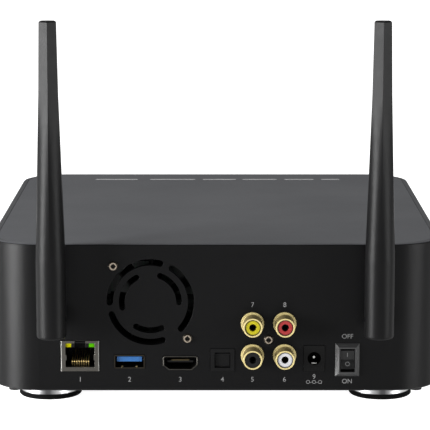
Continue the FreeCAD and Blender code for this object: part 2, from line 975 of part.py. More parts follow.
def top_plate():
    body = new_body("top_plate")
    plan = sketch(body, "top_plan", "XY", ceiling)
    lid_outline(plan)
    pad(body, "top_sheet", plan, size("top_thickness"))
    bosses = sketch(body, "bosses_plan", "XY", ceiling)
    for x, y in post_spots:
        circle(bosses, x, y, size("post_radius") - size("post_sink") - size("seam"))
    pad(body, "bosses", bosses, size("boss_height"), back=True)
    holes = sketch(body, "top_holes_plan", "XY", ceiling - size("boss_height") / 2)
    for x, y in post_spots:
        circle(holes, x, y, size("case_screw_radius"))
    pocket(body, "top_holes", holes, size("boss_height"))
    return keep(body)


def bottom_plate():
    body = new_body("bottom_plate")
    plan = sketch(body, "bottom_plan", "XY", base)
    lid_outline(plan)
    pad(body, "bottom_sheet", plan, size("bottom_thickness"))
    mounts = sketch(body, "standoffs_plan", "XY", floor_top)
    tips = sketch(body, "standoff_tips_plan", "XY", floor_top)
    for x, y in standoff_spots():
        circle(mounts, x, y, size("standoff_radius"))
        circle(tips, x, y, size("standoff_tip"))
    pad(body, "standoffs", mounts, board_low - floor_top)
    pad(body, "standoff_tips", tips, board_top - floor_top + size("tip_rise"))
    halfway = base + size("bottom_thickness") / 2
    holes = sketch(body, "bottom_holes_plan", "XY", halfway)
    for x, y in post_spots + foot_spots:
        circle(holes, x, y, size("case_screw_radius") + size("fit"))
    pocket(body, "bottom_holes", holes, size("bottom_thickness") + PAST)
    vents = sketch(body, "vent_plan", "XY", halfway)
    first = size("vent_inset") - cage_half
    across = (first, first + size("vent_width"))
    for step in (Size(0), size("vent_pitch")):
        start = front + size("vent_start") + step
        along = (start, start + size("vent_length"))
        rounded_rectangle(vents, across, along, size("vent_width") / 2 - size("fit"))
    cuts = pocket(body, "vents", vents, size("bottom_thickness") + PAST)
    run = 2 * (cage_half - size("vent_inset")) - size("vent_width")
    row(body, "vent_row", [cuts], "X", run, VENTS)
    return keep(body)


def standoff_spots():
    inset = size("standoff_inset")
    strip_x = size("board_half_width") - inset
    tail_x = cage_half - size("cage_foot") - size("standoff_radius") - size("cage_gap")
    tail_y = strip_edge - size("board_tail") + inset
    strip_y = board_edge - inset
    return [(strip_x, strip_y), (-strip_x, strip_y), (tail_x, tail_y), (-tail_x, tail_y)]


def cross_recess(name, axis, spot, face, outward):
    """A tapered hole and two crossed slots, cut into a screw's face."""
    bottom = face - outward * size("cross_depth")
    mouth = face + outward * size("cross_depth")
    along = (bottom, mouth) if outward > 0 else (mouth, bottom)
    wide, narrow = size("cross_length"), size("cross_width")
    slots = []
    for turn, widths in enumerate(((wide, narrow), (narrow, wide))):
        spans = [middle(centre, width) for centre, width in zip(spot, widths)]
        spans.insert("xyz".index(axis), along)
        slots.append(box(f"{name}_slot_{turn}", *spans))
    centre = rod(name + "_centre", axis, spot, size("cross_centre"), *along)
    return [*slots, centre]


def case_screws():
    screws = []
    for index, spot in enumerate(post_spots):
        face = base - size("case_head_height")
        head = rod(f"case_head_{index}", "z", spot, size("case_head_radius"), face, base)
        end = ceiling - size("boss_height") / 2
        shank = rod(f"case_shank_{index}", "z", spot, size("case_screw_radius"), base, end)
        recess = cross_recess(f"case_cross_{index}", "z", spot, face, -1)
        screws.append(cut(f"case_screw_{index}", fuse(f"case_blank_{index}", head, shank), *recess))
    return keep(group("case_screws", *screws))


# ---- feet --------------------------------------------------------------------------------------


def revolved(name, outline, x, y):
    """A body turned about its own Z axis from a half section, then placed."""
    body = new_body(name)
    section = sketch(body, name + "_section", "XZ", 0)
    polygon(section, outline)
    spin(body, name + "_turn", section, "Z")
    return put(body, x, y, 0)


def at_each_foot(name, outline):
    copies = [
        revolved(f"{name}_{index}", outline, x, y) for index, (x, y) in enumerate(foot_spots)
    ]
    return keep(group(name + "s", *copies))


def foot_cups():
    wall, radius, edge = size("foot_wall"), size("foot_radius"), size("edge_round")
    low = size("pad_height")
    hole = size("case_screw_radius") + size("fit")
    return at_each_foot("foot_cup", [
        (hole, base - wall),
        (radius - wall, base - wall),
        (radius - wall, low),
        (radius, low),
        (radius, base - edge),
        (radius - edge, base),
        (hole, base),
    ])


def foot_pads():
    radius, rise, edge = size("pad_radius"), size("pad_height"), size("pad_edge")
    core, bore = size("foot_radius") - size("foot_wall"), size("foot_bore")
    groove, half_groove = size("groove_rise"), size("groove_width") / 2
    return at_each_foot("foot_pad", [
        (bore, 0),
        (radius - edge, 0),
        (radius, edge),
        (radius, groove),
        (radius - size("groove_depth"), groove + half_groove),
        (radius, groove + 2 * half_groove),
        (radius, rise),
        (core, rise),
        (core, base - size("foot_wall")),
        (bore, base - size("foot_wall")),
    ])


def foot_screws():
    seat = base - size("foot_wall")
    shank, head, socket = size("case_screw_radius"), size("foot_head"), size("foot_socket")
    low = seat - size("foot_head_height")
    edge = size("edge_round")
    end = floor_top + size("foot_screw_rise")
    return at_each_foot("foot_screw", [
        (0, low + socket),
        (socket, low + socket),
        (socket, low),
        (head - edge, low),
        (head, low + edge),
        (head, seat),
        (shank, seat),
        (shank, end),
        (0, end),
    ])


# ---- fascia ------------------------------------------------------------------------------------


def front_fascia():
    body = new_body("front_fascia")
    seam, wall, lip = size("seam"), size("wall"), size("fascia_lip")
    centre = base + size("body_height") / 2
    across = grown((-fascia_half, fascia_half), -seam)
    up = grown(middle(centre, size("fascia_height")), -seam)
    plate = sketch(body, "fascia_plate_plan", "XZ", front)
    rounded_rectangle(plate, across, up, wall - seam)
    pad(body, "fascia_plate", plate, fascia_back - front)
    rim = sketch(body, "fascia_lip_plan", "XZ", front + wall)
    rectangle(rim, grown(across, lip), grown(up, lip))
    pad(body, "fascia_lip", rim, lip)
    pegs = sketch(body, "fascia_pegs_plan", "XZ", fascia_back)
    for x in peg_columns():
        circle(pegs, x, window_middle, size("peg_radius"))
    pad(body, "fascia_pegs", pegs, size("peg_length"))
    holes = sketch(body, "fascia_openings_plan", "XZ", (front + fascia_back) / 2)
    gap = size("front_gap")
    bezel_across = grown((-bezel_half, bezel_half), gap)
    rounded_rectangle(holes, bezel_across, grown((bezel_low, bezel_top), gap), wall)
    window_across = middle(Size(0), size("window_width"))
    rounded_rectangle(holes, window_across, window_span, size("window_round"))
    circle(holes, button_x, window_middle, size("button_radius") + gap)
    pocket(body, "fascia_openings", holes, fascia_back - front + PAST)
    return keep(body)


def peg_columns():
    """Either side of the window, and past the power button."""
    beside = size("window_width") / 2 + size("peg_out")
    past_button = button_x + size("button_radius") + size("peg_out")
    return beside, -beside, past_button


def display_window():
    fit, rim = size("fit"), size("window_rim")
    across = middle(Size(0), size("window_width"))
    face = front + size("front_gap")
    body = new_body("display_window")
    plan = sketch(body, "window_plan", "XZ", face)
    pane = grown(across, -fit), grown(window_span, -fit)
    rounded_rectangle(plan, *pane, size("window_round") - fit)
    pad(body, "window_pane", plan, fascia_back - face)
    edge = sketch(body, "window_rim_plan", "XZ", fascia_back)
    rectangle(edge, grown(across, rim), grown(window_span, rim))
    pad(body, "window_rim", edge, size("window_rim_thickness"))
    return keep(body)


def display_board():
    body = new_body("display_board")
    panel_y = fascia_back + size("peg_length") - size("display_panel")
    out = size("display_board_out")
    across = (-size("window_width") / 2 - out, button_x + size("button_radius") + out)
    up = (base + size("display_board_low"), bezel_low - size("display_board_gap"))
    outline = sketch(body, "display_board_plan", "XZ", fascia_back + size("peg_length"))
    rectangle(outline, across, up)
    pad(body, "display_board_sheet", outline, size("display_board_thickness"))
    panel = sketch(body, "display_panel_plan", "XZ", panel_y)
    inset = size("display_panel_inset")
    panel_up = grown(window_span, -size("window_rim_thickness"))
    rectangle(panel, grown(middle(Size(0), size("window_width")), -inset), panel_up)
    pad(body, "display_panel", panel, size("display_panel"))
    return keep(body)


def power_button():
    body = new_body("power_button")
    spot = (button_x, window_middle)
    face = front + size("fit")
    cap = sketch(body, "button_cap_plan", "XZ", face)
    circle(cap, *spot, size("button_radius"))
    flange = sketch(body, "button_flange_plan", "XZ", button_y)
    circle(flange, *spot, size("button_radius") + size("button_flange"))
    pad(body, "button_cap", cap, button_y - face)
    pad(body, "button_flange", flange, size("button_back"))
    dish = sketch(body, "button_dish_plan", "XZ", face)
    circle(dish, *spot, size("button_dish"))
    pocket(body, "button_dish", dish, 2 * size("dish_depth"))
    return keep(body)


# ---- boards ------------------------------------------------------------------------------------


def main_board():
    body = new_body("main_board")
    plan = sketch(body, "main_board_plan", "XY", board_low)
    wide, narrow = size("board_half_width"), cage_half - size("board_tail_gap")
    tail = strip_edge - size("board_tail")
    points = [(-wide, board_edge), (-wide, strip_edge), (-narrow, strip_edge), (-narrow, tail)]
    points += [(narrow, tail), (narrow, strip_edge), (wide, strip_edge), (wide, board_edge)]
    polygon(plan, points)
    pad(body, "main_board_sheet", plan, size("board_thickness"))
    holes = sketch(body, "main_board_holes_plan", "XY", board_top - size("board_thickness") / 2)
    for x, y in standoff_spots():
        circle(holes, x, y, size("standoff_tip") + size("fit"))
    bay = grown(switch_case()[0], size("slide_gap"))
    rectangle(holes, bay, (rear - size("switch_depth") - PAST, board_edge + PAST))
    pocket(body, "main_board_holes", holes, size("board_thickness") + PAST)
    chips = sketch(body, "chips_plan", "XY", board_top)
    processor = size("processor_width")
    rectangle(chips, middle(Size(0), processor), middle(processor_y, processor))
    long_side = size("memory_length")
    short_side = size("memory_width")
    for x in (size("memory_x"), -size("memory_x")):
        rectangle(chips, middle(x, short_side), middle(processor_y, long_side))
    rectangle(chips, middle(-radio_spot[0], long_side), middle(radio_spot[1], short_side))
    pad(body, "chips", chips, size("chip_height"))
    return keep(body)


def heatsink():
    body = new_body("soc_heatsink")
    low = board_top + size("chip_height")
    across, along = middle(Size(0), size("sink_width")), middle(processor_y, size("sink_width"))
    plate = sketch(body, "heatsink_plan", "XY", low)
    rectangle(plate, across, along)
    pad(body, "heatsink_plate", plate, size("sink_plate"))
    root = low + size("sink_plate")
    fin = sketch(body, "fin_plan", "XY", root)
    rectangle(fin, (across[0], across[0] + size("fin_thickness")), along)
    fins = pad(body, "fin", fin, base + size("cage_floor") - size("sink_gap") - root)
    row(body, "fins", [fins], "X", size("sink_width") - size("fin_thickness"), FINS)
    return keep(body)


def wifi_module():
    """The radio board by the jacks, with its screening can and two small lead plugs."""
    x, y = radio_spot
    top = board_top + size("radio_board")
    width, length = size("radio_width"), size("radio_length")
    board = box("wifi_board", middle(x, width), middle(y, length), (board_top, top))
    can_along = (y + length / 2 - size("radio_can_length"), y + length / 2)
    can_across = middle(x, width - 2 * size("radio_can_edge"))
    can = box("wifi_can", can_across, can_along, (top, top + size("radio_can")))
    plug_top = top + size("radio_plug_height")
    plugs = [
        rod(f"wifi_plug_{side}", "z", plug_spot(side), size("radio_plug_radius"), top, plug_top)
        for side in (1, -1)
    ]
    return keep(fuse("wifi_module", board, can, *plugs))


def plug_spot(side):
    return radio_spot[0] + side * size("radio_plug_x"), radio_spot[1] - size("radio_plug_y")


# ---- jacks -------------------------------------------------------------------------------------


def lan_shell():
    """The jack's can, with a stepped mouth and a side spring bent in at each edge of it."""
    metal = size("jack_metal")
    face = rear + metal
    deep = rear - size("lan_depth")
    can = box("lan_can", lan_across, (deep, face), lan_up)
    hollow_up = (lan_up[0] - PAST, lan_up[1] - metal)
    hollow = box("lan_hollow", grown(lan_across, -metal), (deep - PAST, rear), hollow_up)
    across, up = lan_mouth
    through = (rear - PAST, face + PAST)
    window = box("lan_window", across, through, up)
    notch_across = middle(size("lan_x"), size("lan_notch_width"))
    notch = box("lan_brow_notch", notch_across, through, (up[0], lan_up[1] + PAST))
    reach = size("lan_spring_reach")
    spring_along = (rear - size("lan_rim"), face)
    spring_up = (lan_up[0] + size("lan_spring_low"), lan_up[0] + size("lan_spring_high"))
    springs = [
        box("lan_spring_right", (across[0], across[0] + reach), spring_along, spring_up),
        box("lan_spring_left", (across[1] - reach, across[1]), spring_along, spring_up),
    ]
    return keep(fuse("lan_shell", cut("lan_face", can, hollow, window, notch), *springs))


def lan_insert():
    metal = size("jack_metal")
    block_along = (rear - size("lan_depth") + metal, rear)
    block_up = (lan_up[0], lan_up[1] - metal)
    block = box("lan_block", grown(lan_across, -metal), block_along, block_up)
    across, up = lan_mouth
    along = (lan_deep, rear + PAST)
    mouth = box("lan_throat", across, along, (up[0], lan_light_low))
    notch_across = middle(size("lan_x"), size("lan_notch_width"))
    notch = box("lan_notch", notch_across, along, (lan_light_low, up[1]))
    cell_along = (rear - size("lan_light_depth"), rear + PAST)
    cells = [
        box(f"lan_cell_{name}", span, cell_along, (lan_light_low, up[1]))
        for name, span in lan_light_spans().items()
    ]
    return keep(cut("lan_insert", block, fuse("lan_cavity", mouth, notch), *cells))


def lan_light_spans():
    low, high = lan_mouth[0]
    wide = size("lan_light_width")
    return {"yellow": (high - wide, high), "green": (low, low + wide)}


def lan_lights():
    along = (rear - size("lan_light_depth"), rear - size("seam"))
    for colour, span in lan_light_spans().items():
        keep(box(f"lan_light_{colour}", span, along, (lan_light_low, lan_mouth[1][1])))


def jack_contacts():
    """Eight bent wires that slope up into the network jack, and the small contacts beside it."""
    low = lan_mouth[1][0]
    thick = size("wire_width")
    knee_y, foot_y = rear - size("wire_in"), rear - size("wire_foot_in")
    knee_z, end_z = low + size("wire_knee"), low + size("wire_end")
    wires = []
    for index in range(WIRES):
        x = size("lan_x") + (index - (WIRES - 1) / 2) * size("lan_pitch")
        body = new_body(f"lan_wire_{index}")
        side = sketch(body, f"lan_wire_{index}_side", "YZ", x)
        polygon(side, [
            (foot_y, low),
            (foot_y + thick, low),
            (knee_y, knee_z - thick),
            (knee_y, knee_z),
            (knee_y - thick, knee_z + thick / 2),
            (lan_deep, end_z),
            (lan_deep, end_z - thick),
            (knee_y - thick, knee_z - thick / 2),
        ])
        pad_both(body, f"lan_wire_{index}_bar", side, thick)
        wires.append(body)
    return keep(group("jack_contacts", *wires, *usb_springs(), hdmi_strip()))


def usb_springs():
    """The two spring ends that show above the floor of the USB shell."""
    floor = usb_up[0] + size("jack_metal")
    wide = size("usb_spring_width")
    near = rear - size("usb_tongue_in")
    return [
        box(
            f"usb_spring_{side}",
            middle(size("usb_x") + side * size("usb_spring_x"), wide),
            (near - 2 * wide, near),
            (floor, floor + size("jack_metal")),
        )
        for side in (1, -1)
    ]


def hdmi_strip():
    """The contact strip on the upper side of the HDMI tongue."""
    tongue_across, tongue_up = hdmi_tongue_span()
    near = rear - size("hdmi_tongue_in") - size("strip_thickness")
    across = grown(tongue_across, -size("hdmi_tongue_side"))
    along = (near - size("strip_length"), near)
    up = (tongue_up[1], tongue_up[1] + size("strip_thickness"))
    return box("hdmi_contact_strip", across, along, up)


def shell_legs(body, name, centre, spread, deep, low):
    """Two solder legs that stand a jack's shell on the board."""
    legs = sketch(body, name + "_plan", "XY", board_top)
    along = (deep + size("leg_in"), deep + size("leg_in") + size("leg_length"))
    for side in (1, -1):
        rectangle(legs, middle(centre + side * spread, size("leg_width")), along)
    pad(body, name, legs, low - board_top + size("jack_metal") / 2)


def usb_jack():
    metal = size("jack_metal")
    deep = rear - size("usb_depth")
    inner_across, inner_up = grown(usb_across, -metal), grown(usb_up, -metal)
    body = new_body("usb_shell")
    mouth = sketch(body, "usb_plan", "XZ", rear + metal)
    rounded_rectangle(mouth, usb_across, usb_up, size("usb_round"))
    rectangle(mouth, inner_across, inner_up)
    pad(body, "usb_can", mouth, size("usb_depth") + metal, back=True)
    back = sketch(body, "usb_back_plan", "XZ", deep)
    rounded_rectangle(back, usb_across, usb_up, size("usb_round"))
    pad(body, "usb_back", back, metal)
    spread = size("usb_width") / 2 - size("leg_width")
    shell_legs(body, "usb_legs", size("usb_x"), spread, deep, usb_up[0])
    keep(body)
    top = inner_up[1] - size("usb_tongue_gap")
    across = grown(inner_across, -size("usb_tongue_side"))
    along = (deep + metal, rear - size("usb_tongue_in"))
    keep(box("usb_tongue", across, along, (top - size("usb_tongue_thickness"), top)))


def hdmi_tongue_span():
    width = size("hdmi_width") - 2 * size("hdmi_tongue_side")
    low = hdmi_up[0] + size("hdmi_tongue_rise")
    return middle(size("hdmi_x"), width), (low, low + size("hdmi_tongue_thickness"))


def hdmi_jack():
    metal = size("jack_metal")
    deep = rear - size("hdmi_depth")
    body = new_body("hdmi_shell")
    mouth = sketch(body, "hdmi_plan", "XZ", rear + metal)
    polygon(mouth, hdmi_outline(Size(0)))
    polygon(mouth, hdmi_outline(metal))
    pad(body, "hdmi_can", mouth, size("hdmi_depth") + metal, back=True)
    spread = size("hdmi_foot_width") / 2 - size("leg_width")
    shell_legs(body, "hdmi_legs", size("hdmi_x"), spread, deep, hdmi_up[0])
    keep(body)
    tongue = new_body("hdmi_tongue")
    root = deep + size("hdmi_back")
    plug = sketch(tongue, "hdmi_back_plan", "XZ", root)
    polygon(plug, hdmi_outline(metal))
    pad(tongue, "hdmi_back", plug, size("hdmi_back"), back=True)
    bar = sketch(tongue, "hdmi_bar_plan", "XZ", root)
    rectangle(bar, *hdmi_tongue_span())
    pad(tongue, "hdmi_bar", bar, rear - size("hdmi_tongue_in") - root)
    keep(tongue)


def optical_jack():
    x, z = optical_spot
    bore, gap = size("optical_bore"), size("shutter_gap")
    along = (rear - size("optical_depth"), rear + size("jack_metal"))
    up = middle(z, size("optical_height"))
    block = box("optical_block", middle(x, size("optical_width")), along, up)
    cavity_along = (along[0] + size("optical_back"), rear + PAST)
    cavity = box("optical_cavity", middle(x, bore), cavity_along, middle(z, bore))
    ear_across = grown(middle(x, bore), size("shutter_ear") + gap)
    ears = rod("optical_ears", "x", shutter_hinge, size("shutter_ear"), *ear_across)
    keep(cut("optical_jack", block, cavity, ears))
    flap_across = grown(middle(x, bore), -gap)
    flap_up = (z - bore / 2 + gap, shutter_hinge[1])
    flap_along = middle(shutter_hinge[0], size("shutter_thickness"))
    flap = box("shutter_flap", flap_across, flap_along, flap_up)
    pin_across = grown(middle(x, bore), size("shutter_ear"))
    pin = rod("shutter_pin", "x", shutter_hinge, size("shutter_pin"), *pin_across)
    keep(fuse("optical_shutter", flap, pin))


def rca_sockets():
    """Four phono sockets: black block and cores, gold barrels and coloured inserts."""
    flange, bore, hole = size("rca_flange_radius"), size("rca_bore"), size("rca_hole")
    end = rear + size("rca_length")
    edge = flange + size("rca_base_edge")
    block = new_body("rca_block")
    plan = sketch(block, "rca_block_plan", "XZ", inside)
    across = (rca_columns[1] - edge, rca_columns[0] + edge)
    rounded_rectangle(plan, across, (board_top, rca_rows[1] + edge), size("window_round"))
    circle(plan, *panel_screw, size("screw_radius"))
    pad(block, "rca_block_solid", plan, size("rca_base_depth"), back=True)
    if block.Shape.BoundBox.YMax > inside.value + 1e-6:
        raise RuntimeError("the phono base stands out of the panel")
    barrels, cores = [], []
    names = {(0, 1): "yellow", (1, 1): "red", (0, 0): "black", (1, 0): "white"}
    for (column, line), colour in names.items():
        spot = rca_columns[column], rca_rows[line]
        ring_end = rear + size("rca_flange_thickness")
        ring = rod(f"rca_ring_{colour}", "y", spot, flange, inside, ring_end)
        tube = rod(f"rca_tube_{colour}", "y", spot, size("rca_radius"), rear, end)
        bored = rod(f"rca_bore_{colour}", "y", spot, bore, inside - PAST, end + PAST)
        barrels.append(cut(f"rca_barrel_{colour}", fuse(f"rca_shape_{colour}", ring, tube), bored))
        lining = rod(f"rca_lining_{colour}", "y", spot, bore, inside, end - size("rca_recess"))
        socket = rod(f"rca_socket_{colour}", "y", spot, hole, inside - PAST, end)
        keep(cut(f"rca_insert_{colour}", lining, socket))
        cores.append(rca_core(colour, spot, end - size("rca_core_in")))
    keep(fuse("rca_base", block, *cores))
    return keep(group("rca_barrels", *barrels))


def rca_core(colour, spot, end):
    """The black tube at the bottom of one socket's hole."""
    radius = size("rca_hole") - size("rca_core_gap")
    tube = rod(f"rca_core_tube_{colour}", "y", spot, radius, inside - PAST, end)
    bore_along = (end - size("rca_core_depth"), end + PAST)
    bore = rod(f"rca_core_bore_{colour}", "y", spot, size("rca_core"), *bore_along)
    return cut(f"rca_core_{colour}", tube, bore)


def dc_jack():
    x, z = dc_spot
    along = (rear - size("dc_depth"), rear + size("jack_metal"))
    bottom = rear - size("dc_bore_depth")
    block = box("dc_block", middle(x, size("dc_width")), along, middle(z, size("dc_height")))
    bore = rod("dc_hole", "y", dc_spot, size("dc_bore"), bottom, rear + PAST)
    keep(cut("dc_jack", block, bore))
    tip = rear - size("dc_pin_in")
    root = tip - size("dc_pin_taper")
    post = rod("dc_post", "y", dc_spot, size("dc_pin"), bottom, root)
    point = cone("dc_point", "y", dc_spot, size("dc_pin"), size("dc_pin_tip"), root, tip)
    low = z - size("dc_bore") + size("dc_spring_rise")
    spring_up = (low, low + size("dc_spring_thickness"))
    spring = box("dc_spring", middle(x, size("dc_spring_width")), (bottom, rear - PAST), spring_up)
    within = rod("dc_bore_space", "y", dc_spot, size("dc_bore"), bottom, rear)
    pin = fuse("dc_pin_solid", post, point)
    keep(group("dc_contacts", pin, common("dc_spring_in_bore", spring, within)))


def switch_case():
    """The pairs of X and Z limits of the part of the switch that goes through the panel."""
    rim = 2 * size("switch_rim")
    x, z = switch_spot
    return middle(x, size("switch_width") - rim), middle(z, size("switch_height") - rim)


def rocker_switch():
    x, z = switch_spot
    flange, gap = size("switch_flange"), size("rocker_gap")
    body = new_body("rocker_frame")
    rim = sketch(body, "rocker_rim_plan", "XZ", rear)
    rectangle(rim, middle(x, size("switch_width")), middle(z, size("switch_height")))
    pad(body, "rocker_rim", rim, flange)
    face = rear + flange
    dress(body, "Chamfer", "rocker_rim_bevel", size("switch_bevel"), lambda edge: (
        abs(edge.BoundBox.YMin - face.value) < 1e-4))
    case = sketch(body, "rocker_case_plan", "XZ", rear)
    rectangle(case, *switch_case())
    pad(body, "rocker_case", case, size("switch_depth"), back=True)
    well = sketch(body, "rocker_well_plan", "XZ", face)
    reach = size("rocker_reach") + gap
    rectangle(well, grown(middle(x, size("rocker_width")), gap), (z - reach, z + reach))
    pocket(body, "rocker_well", well, 2 * (reach + flange + size("rocker_in")))
    ears = sketch(body, "rocker_ears_plan", "YZ", x)
    circle(ears, rocker_y, z, size("rocker_pin") + size("fit"))
    ear_reach = size("rocker_pin_reach") + gap
    pocket(body, "rocker_ears", ears, size("rocker_width") + 2 * ear_reach)
    keep(body)

    shape = new_body("rocker_shape")
    side = sketch(shape, "rocker_side", "YZ", 0)
    reach = size("rocker_reach")
    polygon(side, [(reach * out, reach * up) for out, up in ROCKER_SIDE])
    pad_both(shape, "rocker_bar", side, size("rocker_width"))
    centre, width = (Size(0), Size(0)), size("rocker_width")
    drum = rod("rocker_drum", "x", centre, reach, *middle(Size(0), width + PAST))
    key = common("rocker_key", shape, drum)
    pin_across = middle(Size(0), width + 2 * size("rocker_pin_reach"))
    pin = rod("rocker_pin", "x", centre, size("rocker_pin"), *pin_across)
    paddle = fuse("rocker", key, pin)
    turn = Rotation(Vector(1, 0, 0), size("rocker_tilt").value)
    put(paddle, x, rocker_y, z, turn)
    paddle.setExpression(".Placement.Rotation.Angle", "sizes.rocker_tilt")
    return keep(paddle)


# ---- fan and rear screws -----------------------------------------------------------------------


def fan_frame():
    x, z = fan_spot
    arm, arm_width = size("fan_arm"), size("fan_arm_width")
    hub = size("hub_radius")
    body = new_body("fan_frame")
    plan = sketch(body, "fan_plan", "XZ", inside)
    side = size("fan_size")
    rounded_rectangle(plan, middle(x, side), middle(z, side), size("fan_corner"))
    circle(plan, x, z, fan_bore)
    half = size("fan_pitch") / 2
    for side_x in (1, -1):
        for side_z in (1, -1):
            circle(plan, x + side_x * half, z + side_z * half, size("screw_radius"))
    pad(body, "fan_square", plan, size("fan_thickness"), back=True)
    face = fan_back + arm
    motor = sketch(body, "fan_motor_plan", "XZ", face)
    circle(motor, x, z, hub + size("fan_cup_gap"))
    pad(body, "fan_motor", motor, arm, back=True)
    arms = sketch(body, "fan_arms_plan", "XZ", face)
    reach = fan_bore + size("fan_rim") / 2
    for near, far in ((-reach, -hub), (hub, reach)):
        rectangle(arms, (x + near, x + far), middle(z, arm_width))
        rectangle(arms, middle(x, arm_width), (z + near, z + far))
    pad(body, "fan_arms", arms, arm, back=True)
    bearing = sketch(body, "fan_bearing_plan", "XZ", face)
    circle(bearing, x, z, size("axle_radius") + size("axle_fit"))
    pocket(body, "fan_bearing", bearing, 2 * (arm - size("axle_fit")))
    return keep(body)


def fan_rotor():
    """Seven swept blades on a hub, turned about the body's own Z axis."""
    hub, run = size("hub_radius"), size("fan_arm") + size("fan_cup_gap")
    depth = size("fan_thickness") - run - size("fan_front_gap")
    rotor = new_body("fan_rotor")
    cup = sketch(rotor, "hub_plan", "XY", 0)
    circle(cup, 0, 0, hub)
    pad(rotor, "hub", cup, depth)
    root = sketch(rotor, "blade_root", "YZ", hub - size("blade_sink"))
    polygon(root, blade_section(size("blade_root_run"), depth))
    tip = sketch(rotor, "blade_tip", "YZ", fan_bore - size("fan_tip_gap"))
    polygon(tip, blade_section(size("blade_tip_run"), depth))
    blade = rotor.newObject("PartDesign::AdditiveLoft", "blade")
    blade.Profile = root
    blade.Sections = [tip]
    blade.Ruled = True
    document.recompute()
    ring_of(rotor, "blades", [blade], "Z", BLADES)
    axle = sketch(rotor, "axle_plan", "XY", 0)
    circle(axle, 0, 0, size("axle_radius"))
    pad(rotor, "axle", axle, size("fan_arm"), back=True)
    put(rotor, fan_spot[0], fan_back + run, fan_spot[1], Rotation(Vector(1, 0, 0), -90))
    return keep(rotor)


def blade_section(run, depth):
    """A thin bent blade section across the hub's height, from its low to its high edge."""
    thickness = size("blade_thickness")
    low, high = thickness, depth - thickness
    spine = [(-run / 2, low), (Size(0), low + 0.42 * (high - low)), (run / 2, high)]
    back = [(x + thickness, z) for x, z in spine]
    return spine + back[::-1]


def rear_screws():
    screws = []
    head, rise = size("screw_head"), size("screw_rise")
    for index, spot in enumerate([panel_screw] + fan_screws):
        cap = cone(f"screw_cap_{index}", "y", spot, head, size("screw_crown"), rear, rear + rise)
        start = inside - size("screw_length")
        bar = rod(f"screw_bar_{index}", "y", spot, size("screw_radius"), start, rear)
        recess = cross_recess(f"screw_cross_{index}", "y", spot, rear + rise, 1)
        screws.append(cut(f"rear_screw_{index}", fuse(f"screw_blank_{index}", cap, bar), *recess))
    return keep(group("rear_screws", *screws))


# ---- antennas ----------------------------------------------------------------------------------


def antenna_sockets():
    sockets, nuts = [], []
    flange_end = rear + size("socket_flange")
    barrel_start = inside - size("socket_length")
    barrel_radius = size("socket_barrel")
    corner = size("nut_width") / 2 / math.cos(math.pi / 6)
    for side in (1, -1):
        x = side * antenna_x
        spot = (x, hinge_z)
        plate = rod(f"socket_plate_{side}", "y", spot, size("socket_radius"), rear, flange_end)
        barrel = rod(f"socket_tube_{side}", "y", spot, barrel_radius, barrel_start, rear)
        bore_along = (barrel_start - PAST, flange_end + PAST)
        bore = rod(f"socket_bore_{side}", "y", spot, size("socket_bore"), *bore_along)
        sockets.append(cut(f"socket_{side}", fuse(f"socket_shape_{side}", plate, barrel), bore))
        body = new_body(f"nut_{side}")
        plan = sketch(body, f"nut_plan_{side}", "XZ", inside)
        turns = [step * math.pi / 3 for step in range(6)]
        polygon(plan, [(x + corner * math.cos(t), hinge_z + corner * math.sin(t)) for t in turns])
        circle(plan, *spot, barrel_radius)
        pad(body, f"nut_ring_{side}", plan, size("nut_thickness"), back=True)
        nuts.append(body)
    keep(group("antenna_sockets", *sockets))
    keep(group("antenna_nuts", *nuts))


def antenna_knuckle(name, side):
    """The part that turns in the socket: a clipped stem, a collar and the hinge tongue."""
    x = side * antenna_x
    spot, pivot = (x, hinge_z), (pivot_y, hinge_z)
    clip_front = inside - size("socket_length") - size("clip_gap")
    clip_back = clip_front - size("clip_thickness")
    stem = rod(name + "_stem", "y", spot, size("stem_radius"), clip_front, collar_y)
    clip = rod(name + "_clip", "y", spot, size("clip_radius"), clip_back, clip_front)
    collar_end = collar_y + size("collar_thickness")
    disc = rod(name + "_disc", "y", spot, size("collar_radius"), collar_y, collar_end)
    body = new_body(name + "_tongue")
    shape = sketch(body, name + "_tongue_side", "YZ", x)
    reach = size("tongue_radius")
    rectangle(shape, (collar_y + size("collar_thickness") / 2, pivot_y), middle(hinge_z, 2 * reach))
    pad_both(body, name + "_tongue_bar", shape, size("tongue_width"))
    across = middle(x, size("tongue_width"))
    tip = rod(name + "_tip", "x", pivot, reach, *across)
    hole_radius = size("hinge_pin") + size("pin_fit")
    hole = rod(name + "_hole", "x", pivot, hole_radius, *grown(across, PAST))
    return keep(cut(name, fuse(name + "_shape", stem, clip, disc, body, tip), hole))


